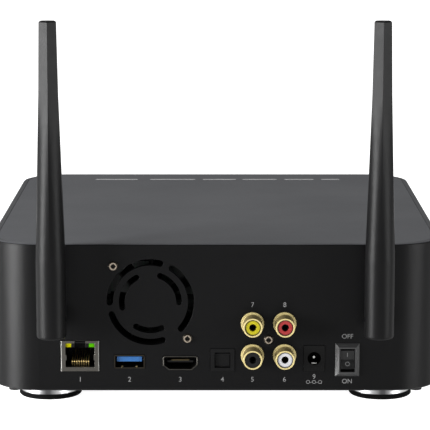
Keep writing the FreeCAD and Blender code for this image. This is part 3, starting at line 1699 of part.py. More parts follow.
def antenna_paddle(name, side):
    """A round barrel that turns into a two-sided blade with a ridge down its outer face."""
    x, radius = side * antenna_x, size("antenna_radius")
    low = hinge_z - size("antenna_drop")
    shoulder = base + size("antenna_round_top")
    top = base + size("antenna_top")
    body = new_body(name + "_body")
    ring = sketch(body, name + "_barrel_plan", "XY", low)
    circle(ring, x, pivot_y, radius)
    pad(body, name + "_barrel", ring, shoulder - low)
    end_round = size("antenna_end_round")
    dress(body, "Fillet", name + "_barrel_end", end_round, lambda edge: level(edge, low))
    start = sketch(body, name + "_start", "XY", shoulder)
    circle(start, x, pivot_y, radius)
    sections = []
    for label in ("middle", "top"):
        section = sketch(body, f"{name}_{label}", "XY", base + size(f"antenna_{label}"))
        half = size(f"antenna_{label}_width") / 2
        corners = [(x + half * across, pivot_y + half * along) for across, along in BLADE_SIDE]
        polygon(section, corners)
        sections.append(section)
    loft = body.newObject("PartDesign::AdditiveLoft", name + "_blade")
    loft.Profile = start
    loft.Sections = sections
    loft.Ruled = True
    document.recompute()
    edge_round = size("edge_round")
    dress(body, "Chamfer", name + "_top_edge", edge_round, lambda edge: level(edge, top))
    pin_across = middle(x, 2 * radius)
    pin_bore = rod(name + "_bore", "x", (pivot_y, hinge_z), size("hinge_pin"), *pin_across)
    return keep(cut(name, body, *antenna_slot(name, x), pin_bore))


def antenna_slot(name, x):
    """Room for the tongue: from the panel side round to the open lower end."""
    gap = size("tongue_gap")
    wide = grown(middle(x, size("tongue_width")), gap)
    reach = size("tongue_radius") + gap
    low = hinge_z - size("antenna_drop") - PAST
    near = pivot_y - size("antenna_radius") - PAST
    turning = rod(name + "_slot_round", "x", (pivot_y, hinge_z), reach, *wide)
    level_cut = box(name + "_slot_level", wide, (near, pivot_y), middle(hinge_z, 2 * reach))
    lower_cut = box(name + "_slot_lower", wide, (near, pivot_y + reach), (low, hinge_z))
    return [turning, level_cut, lower_cut]


def antenna_pin(name, side):
    across = grown(middle(side * antenna_x, 2 * size("antenna_radius")), -size("pin_end"))
    return keep(rod(name, "x", (pivot_y, hinge_z), size("hinge_pin"), *across))


# ---- drive cage, tray and drive ----------------------------------------------------------------


def mirrored(points):
    """A closed outline from its right half, listed from the bottom middle up and round."""
    return points + [(-x, z) for x, z in points[::-1]]


def hdd_cage():
    """A floor between two walls that stand on inward feet, with two strips along each wall."""
    body = new_body("hdd_cage")
    metal, half, tall = size("cage_sheet"), cage_half, size("rail_height")
    out, foot = half + metal, half - size("cage_foot")
    floor, top = base + size("cage_floor"), base + size("cage_top")
    strip = tray_outer + size("rail_gap")
    lower, upper = rib_low - size("slide_gap"), wall_top + size("slide_gap")
    section = [
        (half, floor),
        (half, floor_top + metal),
        (foot, floor_top + metal),
        (foot, floor_top),
        (out, floor_top),
        (out, top),
        (half, top),
        (half, upper + tall),
        (strip, upper + tall),
        (strip, upper),
        (half, upper),
        (half, lower),
        (strip, lower),
        (strip, lower - tall),
        (half, lower - tall),
        (half, floor + metal),
    ]
    near, far = front + size("cage_front"), strip_edge - size("cage_gap")
    plan = sketch(body, "cage_section", "XZ", far)
    polygon(plan, mirrored(section))
    pad(body, "cage_channel", plan, far - near, back=True)
    holes = sketch(body, "cage_holes_plan", "XY", floor + metal / 2)
    wide = size("cage_hole")
    start = near + size("cage_hole_start")
    along = (start, start + size("cage_hole_length"))
    rounded_rectangle(holes, (wide - half, 2 * wide - half), along, size("hole_round"))
    cuts = pocket(body, "cage_holes", holes, metal + PAST)
    row(body, "cage_holes_row", [cuts], "X", 2 * half - 3 * wide, CAGE_HOLES)
    return keep(body)


def tray_frame():
    body = new_body("tray_frame")
    section = [
        (tray_outer, tray_low),
        (tray_outer, rib_low),
        (rib_outer, rib_low),
        (rib_outer, wall_top),
        (tray_inner, wall_top),
        (tray_inner, drive_low),
    ]
    near, far = front + size("bezel_depth"), drive_rear - size("tray_short")
    plan = sketch(body, "tray_section", "XZ", far)
    polygon(plan, mirrored(section))
    pad(body, "tray_channel", plan, far - near, back=True)
    sheet_middle = tray_low + size("tray_sheet") / 2
    holes = sketch(body, "tray_holes_plan", "XY", sheet_middle)
    inset, wide = size("tray_hole_inset"), size("tray_hole_width")
    across = (inset - tray_inner, inset + wide - tray_inner)
    for step in (Size(0), size("tray_hole_pitch")):
        start = drive_front + size("tray_hole_start") + step
        along = (start, start + size("tray_hole_length"))
        rounded_rectangle(holes, across, along, size("hole_round"))
    cuts = pocket(body, "tray_holes", holes, size("tray_sheet") + PAST)
    row(body, "tray_holes_row", [cuts], "X", 2 * (tray_inner - inset) - wide, TRAY_HOLES)
    screws = sketch(body, "tray_screws_plan", "YZ", 0)
    for y, z in drive_holes:
        circle(screws, y, z, size("drive_screw_radius") + size("fit"))
    pocket(body, "tray_screws", screws, 2 * (tray_outer + PAST))
    deep = size("rib_reach") + size("drive_sink_depth")
    for side, label in ((1, "left"), (-1, "right")):
        sinks = sketch(body, f"tray_sinks_{label}_plan", "YZ", side * rib_outer)
        for y, z in drive_holes:
            circle(sinks, y, z, size("drive_sink_radius"))
        pocket(body, f"tray_sinks_{label}", sinks, 2 * deep)
    return keep(body)


def drive_screws():
    screws = []
    for side, label in ((1, "left"), (-1, "right")):
        seat = side * (tray_outer - size("drive_sink_depth"))
        face = seat + side * size("drive_head_height")
        tip = side * (drive_half - size("drive_thread"))
        for index, spot in enumerate(drive_holes):
            name = f"{label}_{index}"
            head = (seat, face) if side > 0 else (face, seat)
            shank = (tip, seat) if side > 0 else (seat, tip)
            cap = rod(f"drive_cap_{name}", "x", spot, size("drive_head_radius"), *head)
            bar = rod(f"drive_bar_{name}", "x", spot, size("drive_screw_radius"), *shank)
            screws.append(fuse(f"drive_screw_{name}", cap, bar))
    return keep(group("hdd_screws", *screws))


def air_slots(body, name, plane_y, length):
    """The row of upright air slots that the lever and the bezel behind it share."""
    plan = sketch(body, name + "_plan", "XZ", plane_y)
    inset = size("air_inset")
    first = lever_end + inset
    rounded_rectangle(plan, (first, first + size("air_width")), air_span, size("air_round"))
    cuts = pocket(body, name, plan, length)
    row(body, name + "_row", [cuts], "X", lever_length - 3 * inset, AIR_SLOTS)


def tray_bezel():
    body = new_body("tray_bezel")
    plate = sketch(body, "bezel_plan", "XZ", front)
    corner = size("wall") - size("front_gap")
    rounded_rectangle(plate, (-bezel_half, bezel_half), (bezel_low, bezel_top), corner)
    pad(body, "bezel_plate", plate, size("bezel_plate"))
    dress(body, "Chamfer", "bezel_edge", size("bezel_edge"), lambda edge: (
        abs(edge.BoundBox.YMax - front.value) < 1e-4))
    back = sketch(body, "bezel_back_plan", "XZ", front + size("bezel_plate"))
    rectangle(back, (-tray_outer, tray_outer), (tray_low, bezel_top - size("bezel_block_drop")))
    pad(body, "bezel_block", back, size("bezel_depth") - size("bezel_plate"))
    gap = size("recess_gap")
    recess = sketch(body, "bezel_recess_plan", "XZ", front)
    recess_across = grown((release_low, lever_pin[0] + size("lever_boss")), gap)
    rounded_rectangle(recess, recess_across, grown(lever_span, gap), size("recess_round"))
    pocket(body, "bezel_recess", recess, 2 * (recess_back - front))
    pins = sketch(body, "bezel_pin_plan", "XY", bezel_middle)
    circle(pins, *lever_pin, size("hinge_pin"))
    pocket(body, "bezel_pin_bore", pins, size("lever_height") + 2 * size("lever_pin_sink"))
    through = 2 * (front + size("bezel_depth") - recess_back + PAST)
    air_slots(body, "bezel_air", recess_back, through)
    stem = sketch(body, "release_bore_plan", "XZ", recess_back)
    circle(stem, *release_stem, size("release_bore"))
    pocket(body, "release_bore", stem, through)
    return keep(body)


def tray_lever():
    body = new_body("tray_lever")
    pin_x = lever_pin[0]
    grip, back = size("lever_grip"), lever_face + size("lever_plate")
    plan = sketch(body, "lever_plan", "XY", lever_span[0])
    polygon(plan, [
        (lever_end, lever_face),
        (pin_x, lever_face),
        (pin_x, back),
        (lever_end + 2 * grip, back),
        (lever_end + grip, back + size("lever_lip")),
        (lever_end, back + size("lever_lip")),
    ])
    pad(body, "lever_bar", plan, size("lever_height"))
    end = sketch(body, "lever_boss_plan", "XY", lever_span[0])
    circle(end, *lever_pin, size("lever_boss"))
    pad(body, "lever_boss", end, size("lever_height"))
    air_slots(body, "lever_air", lever_face, 2 * (size("lever_plate") + PAST))
    bore = sketch(body, "lever_bore_plan", "XY", bezel_middle)
    circle(bore, *lever_pin, size("hinge_pin") + size("pin_fit"))
    pocket(body, "lever_bore", bore, size("lever_height") + 2 * PAST)
    keep(body)
    up = grown(lever_span, size("lever_pin_sink"))
    return keep(rod("tray_lever_pin", "z", lever_pin, size("hinge_pin"), *up))


def tray_release():
    body = new_body("tray_release")
    face, half_plate = front + size("front_gap"), size("lever_plate") / 2
    cap = sketch(body, "release_plan", "XZ", face)
    rounded_rectangle(cap, release_span, lever_span, size("release_round"))
    pad(body, "release_cap", cap, size("lever_plate"))
    start = size("grip_start")
    grip = sketch(body, "release_grip_plan", "XZ", face)
    grip_up = middle(lever_span[0] + start, size("grip_width"))
    rectangle(grip, grown(release_span, -size("grip_inset")), grip_up)
    cuts = pocket(body, "release_grip", grip, 2 * size("grip_depth"))
    row(body, "release_grips", [cuts], "Z", size("lever_height") - 2 * start, GRIPS)
    stem = sketch(body, "release_stem_plan", "XZ", face + half_plate)
    circle(stem, *release_stem, size("release_stem"))
    stem_end = recess_back + size("release_stem_end")
    pad(body, "release_stem", stem, stem_end - face - half_plate)
    return keep(body)


def hard_drive():
    body = new_body("hard_drive")
    lid, corner = size("drive_lid"), size("drive_corner")
    plan = sketch(body, "drive_plan", "XY", drive_low)
    rounded_rectangle(plan, (-drive_half, drive_half), (drive_front, drive_rear), corner)
    pad(body, "drive_casting", plan, size("drive_height") - lid)
    gap = size("drive_notch_gap")
    notch = sketch(body, "drive_notch_plan", "XZ", drive_rear)
    notch_up = (drive_low - PAST, drive_low + size("drive_notch_height"))
    rectangle(notch, grown(socket_across, gap), notch_up)
    pocket(body, "drive_notch", notch, 2 * (size("socket_reach") + gap))
    for side, label in ((1, "left"), (-1, "right")):
        spots = sketch(body, f"drive_holes_{label}_plan", "YZ", side * drive_half)
        for y, z in drive_holes:
            circle(spots, y, z, size("drive_screw_radius"))
        pocket(body, f"drive_holes_{label}", spots, 2 * (size("drive_thread") + PAST))
    keep(body)
    cover = new_body("hard_drive_lid")
    low = drive_low + size("drive_height") - lid
    dome_low = low + lid - size("drive_dome")
    inset = size("drive_lid_in")
    rim = sketch(cover, "drive_lid_plan", "XY", low)
    lid_along = (drive_front + inset, drive_rear - size("drive_lid_short"))
    rounded_rectangle(rim, grown((-drive_half, drive_half), -inset), lid_along, 2 * corner)
    pad(cover, "drive_lid_sheet", rim, dome_low - low)
    dome = sketch(cover, "drive_dome_plan", "XY", dome_low)
    circle(dome, 0, drive_front + drive_half, drive_half - size("drive_dome_in"))
    pad(cover, "drive_dome", dome, size("drive_dome"))
    return keep(cover)


def backplane():
    """The upright board behind the drive, with the socket that the drive slides onto."""
    face = backplane_y - size("board_thickness")
    half = size("backplane_width") / 2
    up = (board_top, board_top + size("backplane_height"))
    board = box("backplane_sheet", (-half, half), (face, backplane_y), up)
    header_across = middle(size("header_x"), size("header_width"))
    header_up = (board_top, board_top + size("header_height"))
    header_along = (face - size("header_depth"), face)
    header = box("backplane_header", header_across, header_along, header_up)
    keep(fuse("sata_backplane", board, header))
    start = drive_rear - size("socket_reach")
    low = drive_low + size("socket_rise")
    block_up = (low, low + size("socket_height"))
    block = box("sata_block", socket_across, (start, face), block_up)
    slot_up = middle(low + size("socket_height") / 2, size("socket_slot"))
    near, far = grown(socket_across, -size("slot_edge"))
    spans = {"power": (near, near + size("power_slot")), "data": (far - size("data_slot"), far)}
    slots = [
        box(f"sata_slot_{label}", span, (start - PAST, drive_rear), slot_up)
        for label, span in spans.items()
    ]
    return keep(cut("sata_socket", block, *slots))


# ---- leads -------------------------------------------------------------------------------------


def lead(name, points):
    """A round lead along straight runs that are joined by tangent arcs."""
    corners = [Vector(*(as_size(one).value for one in point)) for point in points]
    edges, start = [], corners[0]
    for before, corner, after in zip(corners, corners[1:], corners[2:]):
        come, leave = (corner - before), (after - corner)
        half_turn = come.getAngle(leave) / 2
        back = 0.45 * min(come.Length, leave.Length)
        bend_start = corner - come.normalize() * back
        bend_end = corner + leave.normalize() * back
        to_centre = (leave - come).normalize()
        radius = back / math.tan(half_turn)
        inner = corner + to_centre * (radius / math.cos(half_turn) - radius)
        edges.append(Part.makeLine(start, bend_start))
        edges.append(Part.Arc(bend_start, inner, bend_end).toShape())
        start = bend_end
    edges.append(Part.makeLine(start, corners[-1]))
    path = Part.Wire(edges)
    ring = Part.makeCircle(size("lead_radius").value, corners[0], corners[1] - corners[0])
    solid = path.makePipeShell([Part.Wire([ring])], True, False)
    expected = math.pi * size("lead_radius").value ** 2 * path.Length
    if abs(solid.Volume / expected - 1) > 0.02:
        raise RuntimeError(f"{name} has the wrong volume")
    tube = document.addObject("Part::Feature", name)
    tube.Shape = solid
    return tube


def leads():
    """A lead from each antenna down to the radio board, and one from the fan."""
    plug_top = board_top + size("radio_board") + size("radio_plug_height")
    above_plug = plug_top + size("lead_lift")
    start_y = inside - size("socket_length") - size("clip_gap") - size("clip_thickness")
    near_x, near_y = plug_spot(1)
    near = lead("lead_near", [
        (antenna_x, start_y, hinge_z),
        (antenna_x, start_y - size("lead_run"), hinge_z),
        (near_x, near_y, above_plug),
        (near_x, near_y, plug_top),
    ])
    lane = (backplane_y + fan_back) / 2
    high = board_top + size("lead_high")
    far_x, far_y = plug_spot(-1)
    far = lead("lead_far", [
        (-antenna_x, start_y, hinge_z),
        (-antenna_x, lane, hinge_z),
        (size("lead_fall") - antenna_x, lane, high),
        (far_x, lane, high),
        (far_x, far_y, above_plug),
        (far_x, far_y, plug_top),
    ])
    keep(group("antenna_leads", near, far))
    fan_x = (size("hdmi_x") + size("hdmi_width") / 2 + usb_across[0]) / 2
    fan_low, step = fan_spot[1] - size("fan_size") / 2, size("fan_lead_step")
    out, back = fan_back + step, fan_back + 2 * step
    return keep(lead("fan_lead", [
        (fan_x, out, fan_low),
        (fan_x, out, fan_low - step),
        (fan_x, back, board_top + step),
        (fan_x, back, board_top),
    ]))


# ---- the whole player --------------------------------------------------------------------------


def build_all():
    housing_shell()
    top_plate()
    bottom_plate()
    case_screws()
    foot_cups()
    foot_pads()
    foot_screws()
    front_fascia()
    display_window()
    display_board()
    power_button()
    main_board()
    heatsink()
    wifi_module()
    lan_shell()
    lan_insert()
    lan_lights()
    jack_contacts()
    usb_jack()
    hdmi_jack()
    optical_jack()
    rca_sockets()
    dc_jack()
    rocker_switch()
    fan_frame()
    fan_rotor()
    rear_screws()
    antenna_sockets()
    for name, side in (("left", 1), ("right", -1)):
        antenna_knuckle(name + "_antenna_knuckle", side)
        antenna_paddle(name + "_antenna", side)
        antenna_pin(name + "_antenna_pin", side)
    hdd_cage()
    tray_frame()
    drive_screws()
    tray_bezel()
    tray_lever()
    tray_release()
    hard_drive()
    backplane()
    leads()


def check_and_export():
    document.recompute()
    for thing in document.Objects:
        if "Invalid" in thing.State or "Error" in thing.State:
            raise RuntimeError(f"{thing.Name} failed: {thing.State}")
    os.makedirs("parts", exist_ok=True)
    for node in nodes:
        if node.Shape.isNull() or not node.Shape.isValid():
            raise RuntimeError(f"{node.Name} is not a valid shape")
        node.Shape.exportStep(f"parts/{node.Label}.step")


build_all()
check_and_export()
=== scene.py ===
import json
import math

import bpy
from mathutils import Matrix, Vector


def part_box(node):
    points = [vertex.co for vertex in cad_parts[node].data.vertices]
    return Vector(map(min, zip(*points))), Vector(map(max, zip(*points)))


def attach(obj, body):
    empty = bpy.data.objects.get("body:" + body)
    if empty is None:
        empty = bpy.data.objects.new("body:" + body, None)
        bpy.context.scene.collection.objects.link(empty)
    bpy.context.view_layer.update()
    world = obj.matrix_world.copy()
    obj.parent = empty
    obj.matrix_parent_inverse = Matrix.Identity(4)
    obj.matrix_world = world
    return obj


# Media player seen from behind.  Metres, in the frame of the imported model: +Z up, the rear
# panel faces +Y, and the reader's left is +X.

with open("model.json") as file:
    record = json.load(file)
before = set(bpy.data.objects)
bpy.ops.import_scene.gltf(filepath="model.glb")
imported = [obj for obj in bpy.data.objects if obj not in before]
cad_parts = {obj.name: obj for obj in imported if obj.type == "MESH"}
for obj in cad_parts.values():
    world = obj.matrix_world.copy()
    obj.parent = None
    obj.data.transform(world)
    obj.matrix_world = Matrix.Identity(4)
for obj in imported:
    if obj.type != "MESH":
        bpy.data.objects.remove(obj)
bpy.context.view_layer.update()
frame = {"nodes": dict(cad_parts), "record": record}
MM = 0.001


# ---- places taken from the frame ---------------------------------------------------------------


def middle_of(node):
    low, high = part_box(node)
    return [(a + b) / 2 for a, b in zip(low, high)]


def half_width(node):
    low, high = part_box(node)
    return (high[0] - low[0]) / 2


shell_low, shell_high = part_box("housing_shell")
REAR = shell_high[1]
FRONT = shell_low[1]
UNDERSIDE = shell_low[2]
CROWN = shell_high[2]


# ---- stage: camera, lights and floor -----------------------------------------------------------

PHOTO_SIZE = 430
FOCAL_PIXELS = 2093.0
CENTRE_X_PIXEL = 215.3
CAMERA_BACK = 886.6 * MM
CAMERA_RISE = 229.6 * MM
CAMERA_PITCH = math.radians(9.72)
SENSOR = 36.0
NEAR_CLIP = 0.01

SKY_LIGHT = 0.4
FLOOR_SIZE = 12
FLOOR_WHITE = (0.93, 0.93, 0.93)
FLOOR_ROUGHNESS = 0.2
FLOOR_GLOW = 0.92

KEY_POWER = 1.0
KEY_SPOT = (0.1, 0.35, 1.3)
KEY_AIM = (0, 0, 0.04)
KEY_SIZE = 1.2

# Two soft boxes stand round the rear panel's middle, turned from straight behind it to +X or -X.
LEFT_POWER = 40.0
LEFT_TURN = math.radians(66)
RIGHT_POWER = 10.0
RIGHT_TURN = math.radians(-62)
BOX_REACH = 0.9
BOX_WIDTH = 0.45
BOX_HEIGHT = 0.34
BOX_MIDDLE = 0.172
BOX_AIM = (0, REAR, 0.05)


def add_camera():
    data = bpy.data.cameras.new("photo_camera")
    data.sensor_width = SENSOR
    data.lens = FOCAL_PIXELS / PHOTO_SIZE * SENSOR
    data.shift_x = (PHOTO_SIZE / 2 - CENTRE_X_PIXEL) / PHOTO_SIZE
    data.clip_start = NEAR_CLIP
    camera = bpy.data.objects.new("photo_camera", data)
    camera.location = (0, REAR + CAMERA_BACK, UNDERSIDE + CAMERA_RISE)
    camera.rotation_euler = (math.pi / 2 - CAMERA_PITCH, 0, math.pi)
    bpy.context.scene.collection.objects.link(camera)
    bpy.context.scene.camera = camera


def add_area_light(name, spot, target, width, height, power):
    data = bpy.data.lights.new(name, "AREA")
    data.shape = "RECTANGLE"
    data.size = width
    data.size_y = height
    data.energy = power
    lamp = bpy.data.objects.new(name, data)
    lamp.location = spot
    aim = Vector(target) - Vector(spot)
    lamp.rotation_euler = aim.to_track_quat("-Z", "Y").to_euler()
    bpy.context.scene.collection.objects.link(lamp)


def add_soft_box(name, turn, power):
    spot = (BOX_REACH * math.sin(turn), REAR + BOX_REACH * math.cos(turn), BOX_MIDDLE)
    add_area_light(name, spot, BOX_AIM, BOX_WIDTH, BOX_HEIGHT, power)


def add_stage():
    scene = bpy.context.scene
    scene.view_settings.view_transform = "Standard"
    scene.view_settings.look = "None"
    world = bpy.data.worlds.new("studio")
    scene.world = world
    world.use_nodes = True
    sky = world.node_tree.nodes["Background"]
    sky.inputs["Color"].default_value = (1, 1, 1, 1)
    sky.inputs["Strength"].default_value = SKY_LIGHT
    bpy.ops.mesh.primitive_plane_add(size=FLOOR_SIZE, location=(0, 0, 0))
    floor = bpy.context.object
    floor.name = "studio_floor"
    paint = Paint("floor_paper", FLOOR_WHITE, FLOOR_ROUGHNESS)
    paint.glow((1, 1, 1), FLOOR_GLOW)
    floor.data.materials.append(paint.material)
    add_area_light("key_above", KEY_SPOT, KEY_AIM, KEY_SIZE, KEY_SIZE, KEY_POWER)
    add_soft_box("left_box", LEFT_TURN, LEFT_POWER)
    add_soft_box("right_box", RIGHT_TURN, RIGHT_POWER)


# ---- materials ---------------------------------------------------------------------------------

FINE_DEPTH = 0.000003
SHALLOW_DEPTH = 0.00001
ALL_WAYS = (1, 1, 1)
ALONG_X = (1, 0, 0)
ALONG_Y = (0, 1, 0)
ROUND_Y = (1, 0, 1)


class Paint:
    """A procedural material: a Principled shader and the textures that drive it."""

    def __init__(self, name, colour, roughness, metallic=0.0, specular=0.5):
        self.material = bpy.data.materials.new(name)
        self.material.use_nodes = True
        self.nodes = self.material.node_tree.nodes
        self.links = self.material.node_tree.links
        self.shader = self.nodes["Principled BSDF"]
        self.colour = colour
        self.roughness = roughness
        self.shader.inputs["Base Color"].default_value = (*colour, 1)
        self.shader.inputs["Roughness"].default_value = roughness
        self.shader.inputs["Metallic"].default_value = metallic
        self.shader.inputs["Specular IOR Level"].default_value = specular
        self.place = self.nodes.new("ShaderNodeTexCoord").outputs["Object"]
        self.normal = None

    # textures and measures

    def stretched(self, scale):
        mapping = self.nodes.new("ShaderNodeMapping")
        mapping.inputs["Scale"].default_value = scale
        self.links.new(self.place, mapping.inputs["Vector"])
        return mapping.outputs["Vector"]

    def noise(self, scale, detail=2.0, stretch=ALL_WAYS):
        texture = self.nodes.new("ShaderNodeTexNoise")
        texture.inputs["Scale"].default_value = scale
        texture.inputs["Detail"].default_value = detail
        self.links.new(self.stretched(stretch), texture.inputs["Vector"])
        return texture.outputs["Fac"]

    def coordinate(self, letter):
        apart = self.nodes.new("ShaderNodeSeparateXYZ")
        self.links.new(self.place, apart.inputs["Vector"])
        return apart.outputs[letter]

    def number_step(self, operation, source, other=0.0):
        """One step of arithmetic with a number or with a second value."""
        step = self.nodes.new("ShaderNodeMath")
        step.operation = operation
        self.links.new(source, step.inputs[0])
        if isinstance(other, bpy.types.NodeSocket):
            self.links.new(other, step.inputs[1])
        else:
            step.inputs[1].default_value = other
        return step.outputs["Value"]

    def vector_step(self, operation, source, other=(0, 0, 0)):
        step = self.nodes.new("ShaderNodeVectorMath")
        step.operation = operation
        self.links.new(source, step.inputs[0])
        step.inputs[1].default_value = other
        return step.outputs["Value" if operation == "LENGTH" else "Vector"]

    def distance(self, spot, axes=ROUND_Y):
        """The distance from one place, measured along the marked axes alone."""
        apart = self.vector_step("SUBTRACT", self.place, spot)
        return self.vector_step("LENGTH", self.vector_step("MULTIPLY", apart, axes))

    def ramp(self, value, low, high, start=0.3, end=0.7):
        """Maps start..end, where a noise has most of its values, onto low..high."""
        spread = self.nodes.new("ShaderNodeMapRange")
        spread.inputs["From Min"].default_value = start
        spread.inputs["From Max"].default_value = end
        spread.inputs["To Min"].default_value = low
        spread.inputs["To Max"].default_value = high
        self.links.new(value, spread.inputs["Value"])
        return spread.outputs["Result"]

    # what they drive

    def vary_roughness(self, texture, spread):
        value = self.ramp(texture, self.roughness - spread, self.roughness + spread)
        self.links.new(value, self.shader.inputs["Roughness"])

    def vary_colour(self, texture, other, start=0.3, end=0.7):
        mix = self.nodes.new("ShaderNodeMix")
        mix.data_type = "RGBA"
        mix.inputs["A"].default_value = (*self.colour, 1)
        mix.inputs["B"].default_value = (*other, 1)
        self.links.new(self.ramp(texture, 0, 1, start, end), mix.inputs["Factor"])
        self.links.new(mix.outputs["Result"], self.shader.inputs["Base Color"])

    def bump(self, texture, depth, strength):
        bump = self.nodes.new("ShaderNodeBump")
        bump.inputs["Distance"].default_value = depth
        bump.inputs["Strength"].default_value = strength
        self.links.new(texture, bump.inputs["Height"])
        self.links.new(bump.outputs["Normal"], self.shader.inputs["Normal"])

    def glow(self, colour, strength):
        self.shader.inputs["Emission Color"].default_value = (*colour, 1)
        self.shader.inputs["Emission Strength"].default_value = strength

    # surfaces that several finishes share

    def coat_surface(self, grain=2600, depth=0.00002):
        """The even grain of powder coat or anodising, with faint clouds in the sheen."""
        self.vary_roughness(self.noise(18, 3), 0.04)
        self.bump(self.noise(grain, 3), depth, 0.6)

    def moulded_surface(self, clouds=0.06):
        """Spark-eroded texture with soft flow clouds."""
        self.vary_roughness(self.noise(220, 3), clouds)
        self.bump(self.noise(1400, 4), 0.00003, 0.5)

    def plated_surface(self, clouds=0.05, depth=FINE_DEPTH):
        """Faint handling marks in the sheen, over a slight waviness."""
        self.vary_roughness(self.noise(150, 5), clouds)
        self.bump(self.noise(700, 3), depth, 0.4)


def shaded(colour, factor):
    """The colour made lighter or darker."""
    return tuple(min(1.0, channel * factor) for channel in colour)


def painted(name, colour, roughness, specular, metallic=0.0, grain=2600, depth=0.00002):
    """Powder coat or anodising."""
    paint = Paint(name, colour, roughness, metallic, specular)
    paint.vary_colour(paint.noise(grain * 0.6, 1), shaded(colour, 1.25))
    paint.coat_surface(grain, depth)
    return paint.material


def moulded(name, colour, roughness, specular, clouds=0.06):
    """Injection moulded plastic."""
    paint = Paint(name, colour, roughness, specular=specular)
    paint.vary_colour(paint.noise(40, 4), shaded(colour, 1.18))
    paint.moulded_surface(clouds)
    return paint.material


def brushed(name, colour, roughness):
    """Sheet metal with fine lines along Y."""
    lengthwise = (60, 1, 60)
    paint = Paint(name, colour, roughness, 1.0)
    lines = paint.noise(90, 5, lengthwise)
    paint.vary_colour(lines, shaded(colour, 0.82))
    paint.vary_roughness(paint.noise(36, 3, lengthwise), 0.08)
    paint.bump(lines, SHALLOW_DEPTH, 0.5)
    return paint.material


def plated(name, colour, roughness):
    """Plated metal."""
    paint = Paint(name, colour, roughness, 1.0)
    paint.vary_colour(paint.noise(60, 4), shaded(colour, 0.9))
    paint.plated_surface()
    return paint.material


def rubbery(name):
    colour = (0.0015, 0.0015, 0.0015)
    paint = Paint(name, colour, 0.7, specular=0.02)
    paint.vary_colour(paint.noise(300, 4), shaded(colour, 1.6))
    paint.vary_roughness(paint.noise(90, 3), 0.08)
    paint.bump(paint.noise(1600, 3), 0.00004, 0.6)
    return paint.material


def tinted(name, colour, roughness, specular, coat, glow=0.0):
    """Clear tinted plastic over a lamp or a display."""
    paint = Paint(name, colour, roughness, specular=specular)
    paint.shader.inputs["Coat Weight"].default_value = coat
    paint.shader.inputs["Coat Roughness"].default_value = 0.08
    paint.glow(colour, glow)
    paint.vary_colour(paint.noise(260, 3), shaded(colour, 0.75))
    paint.bump(paint.noise(500, 2), SHALLOW_DEPTH, 0.4)
    return paint.material


def printed_ink(name, colour, worn):
    """Screen-printed ink, a little thinner in places."""
    paint = Paint(name, colour, 0.6, specular=0.2)
    paint.vary_colour(paint.noise(900, 3), worn)
    paint.bump(paint.noise(2400, 2), SHALLOW_DEPTH, 0.4)
    return paint.material


# Finishes that change from place to place on one piece.  Where one says that it stands in for
# shade or for a reflection, the tone is fixed to the piece and doesn't follow the light.

BLACK = (0.0018, 0.0018, 0.0019)
DEEP_BLACK = (0.0015, 0.0015, 0.0015)
SATIN = 0.06
SHELL_BLACK = (0.001, 0.001, 0.0011)
# The rim's grey is a painted sheen: the housing's black top face, lightened for the light from
# above.
RIM_PAINTED_SHEEN = (0.048, 0.049, 0.053)
# The top plate's grey is a dark grey lightened by a painted sheen of the light from above.
TOP_GREY_AND_SHEEN = (0.049, 0.051, 0.056)
JACK_STEEL = (0.046, 0.0435, 0.039)
CUP_RADIUS = 13.0 * MM
SCREW_APART = 6 * MM


def shell_finish(name):
    """Anodised housing: black walls, and the top plate's grey on the rim round it, a painted
    sheen of the light from above.
    """
    paint = Paint(name, SHELL_BLACK, 0.4, specular=SATIN)
    # Painted sheen: the rim's top face turns grey near the crown.
    paint.vary_colour(paint.coordinate("Z"), RIM_PAINTED_SHEEN, CROWN - 0.3 * MM, CROWN - 0.1 * MM)
    paint.coat_surface()
    return paint.material


def phono_barrel(name):
    """Gold plating, deeper along the barrel: stands in for the dark panel that it reflects."""
    paint = Paint(name, (0.115, 0.09, 0.036), 0.5, 0.5)
    back, front = REAR + 0.8 * MM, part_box("rca_barrels")[1][1] - 0.3 * MM
    half = (front - back) / 2
    along = paint.distance((0, back + half, 0), ALONG_Y)
    paint.vary_colour(along, (0.29, 0.24, 0.105), half - 0.1 * MM, half + 0.1 * MM)
    paint.plated_surface(0.03)
    return paint.material


def phono_insert(name, node, colour):
    """Plastic insert with a dark ring: stands in for the shade where it meets the barrel."""
    paint = Paint(name, colour, 0.4, specular=0.12)
    edge = half_width(node)
    painted_ring_shade = shaded(colour, 0.12)
    # Painted shade: a dark ring at the insert's edge, where it meets the barrel.
    paint.vary_colour(paint.distance(middle_of(node)), painted_ring_shade, 0.8 * edge, 0.92 * edge)
    paint.moulded_surface()
    return paint.material


def contact_plating(name):
    """Gold contacts, lighter in the network jack and darker in the jacks beside it."""
    paint = Paint(name, (0.42, 0.31, 0.13), 0.42, 1.0)
    aside = paint.distance(middle_of("lan_shell"), ALONG_X)
    paint.vary_colour(aside, (0.17, 0.135, 0.07), 9.0 * MM, 10.0 * MM)
    paint.plated_surface()
    return paint.material


def network_shell(name):
    """Plated steel with brighter outer sides: stands in for the light on its folded edges."""
    paint = Paint(name, JACK_STEEL, 0.3, 1.0)
    half = half_width(name)
    across = paint.distance(middle_of(name), ALONG_X)
    paint.vary_colour(across, (0.12, 0.118, 0.111), half - 0.5 * MM, half - 0.3 * MM)
    paint.plated_surface()
    return paint.material


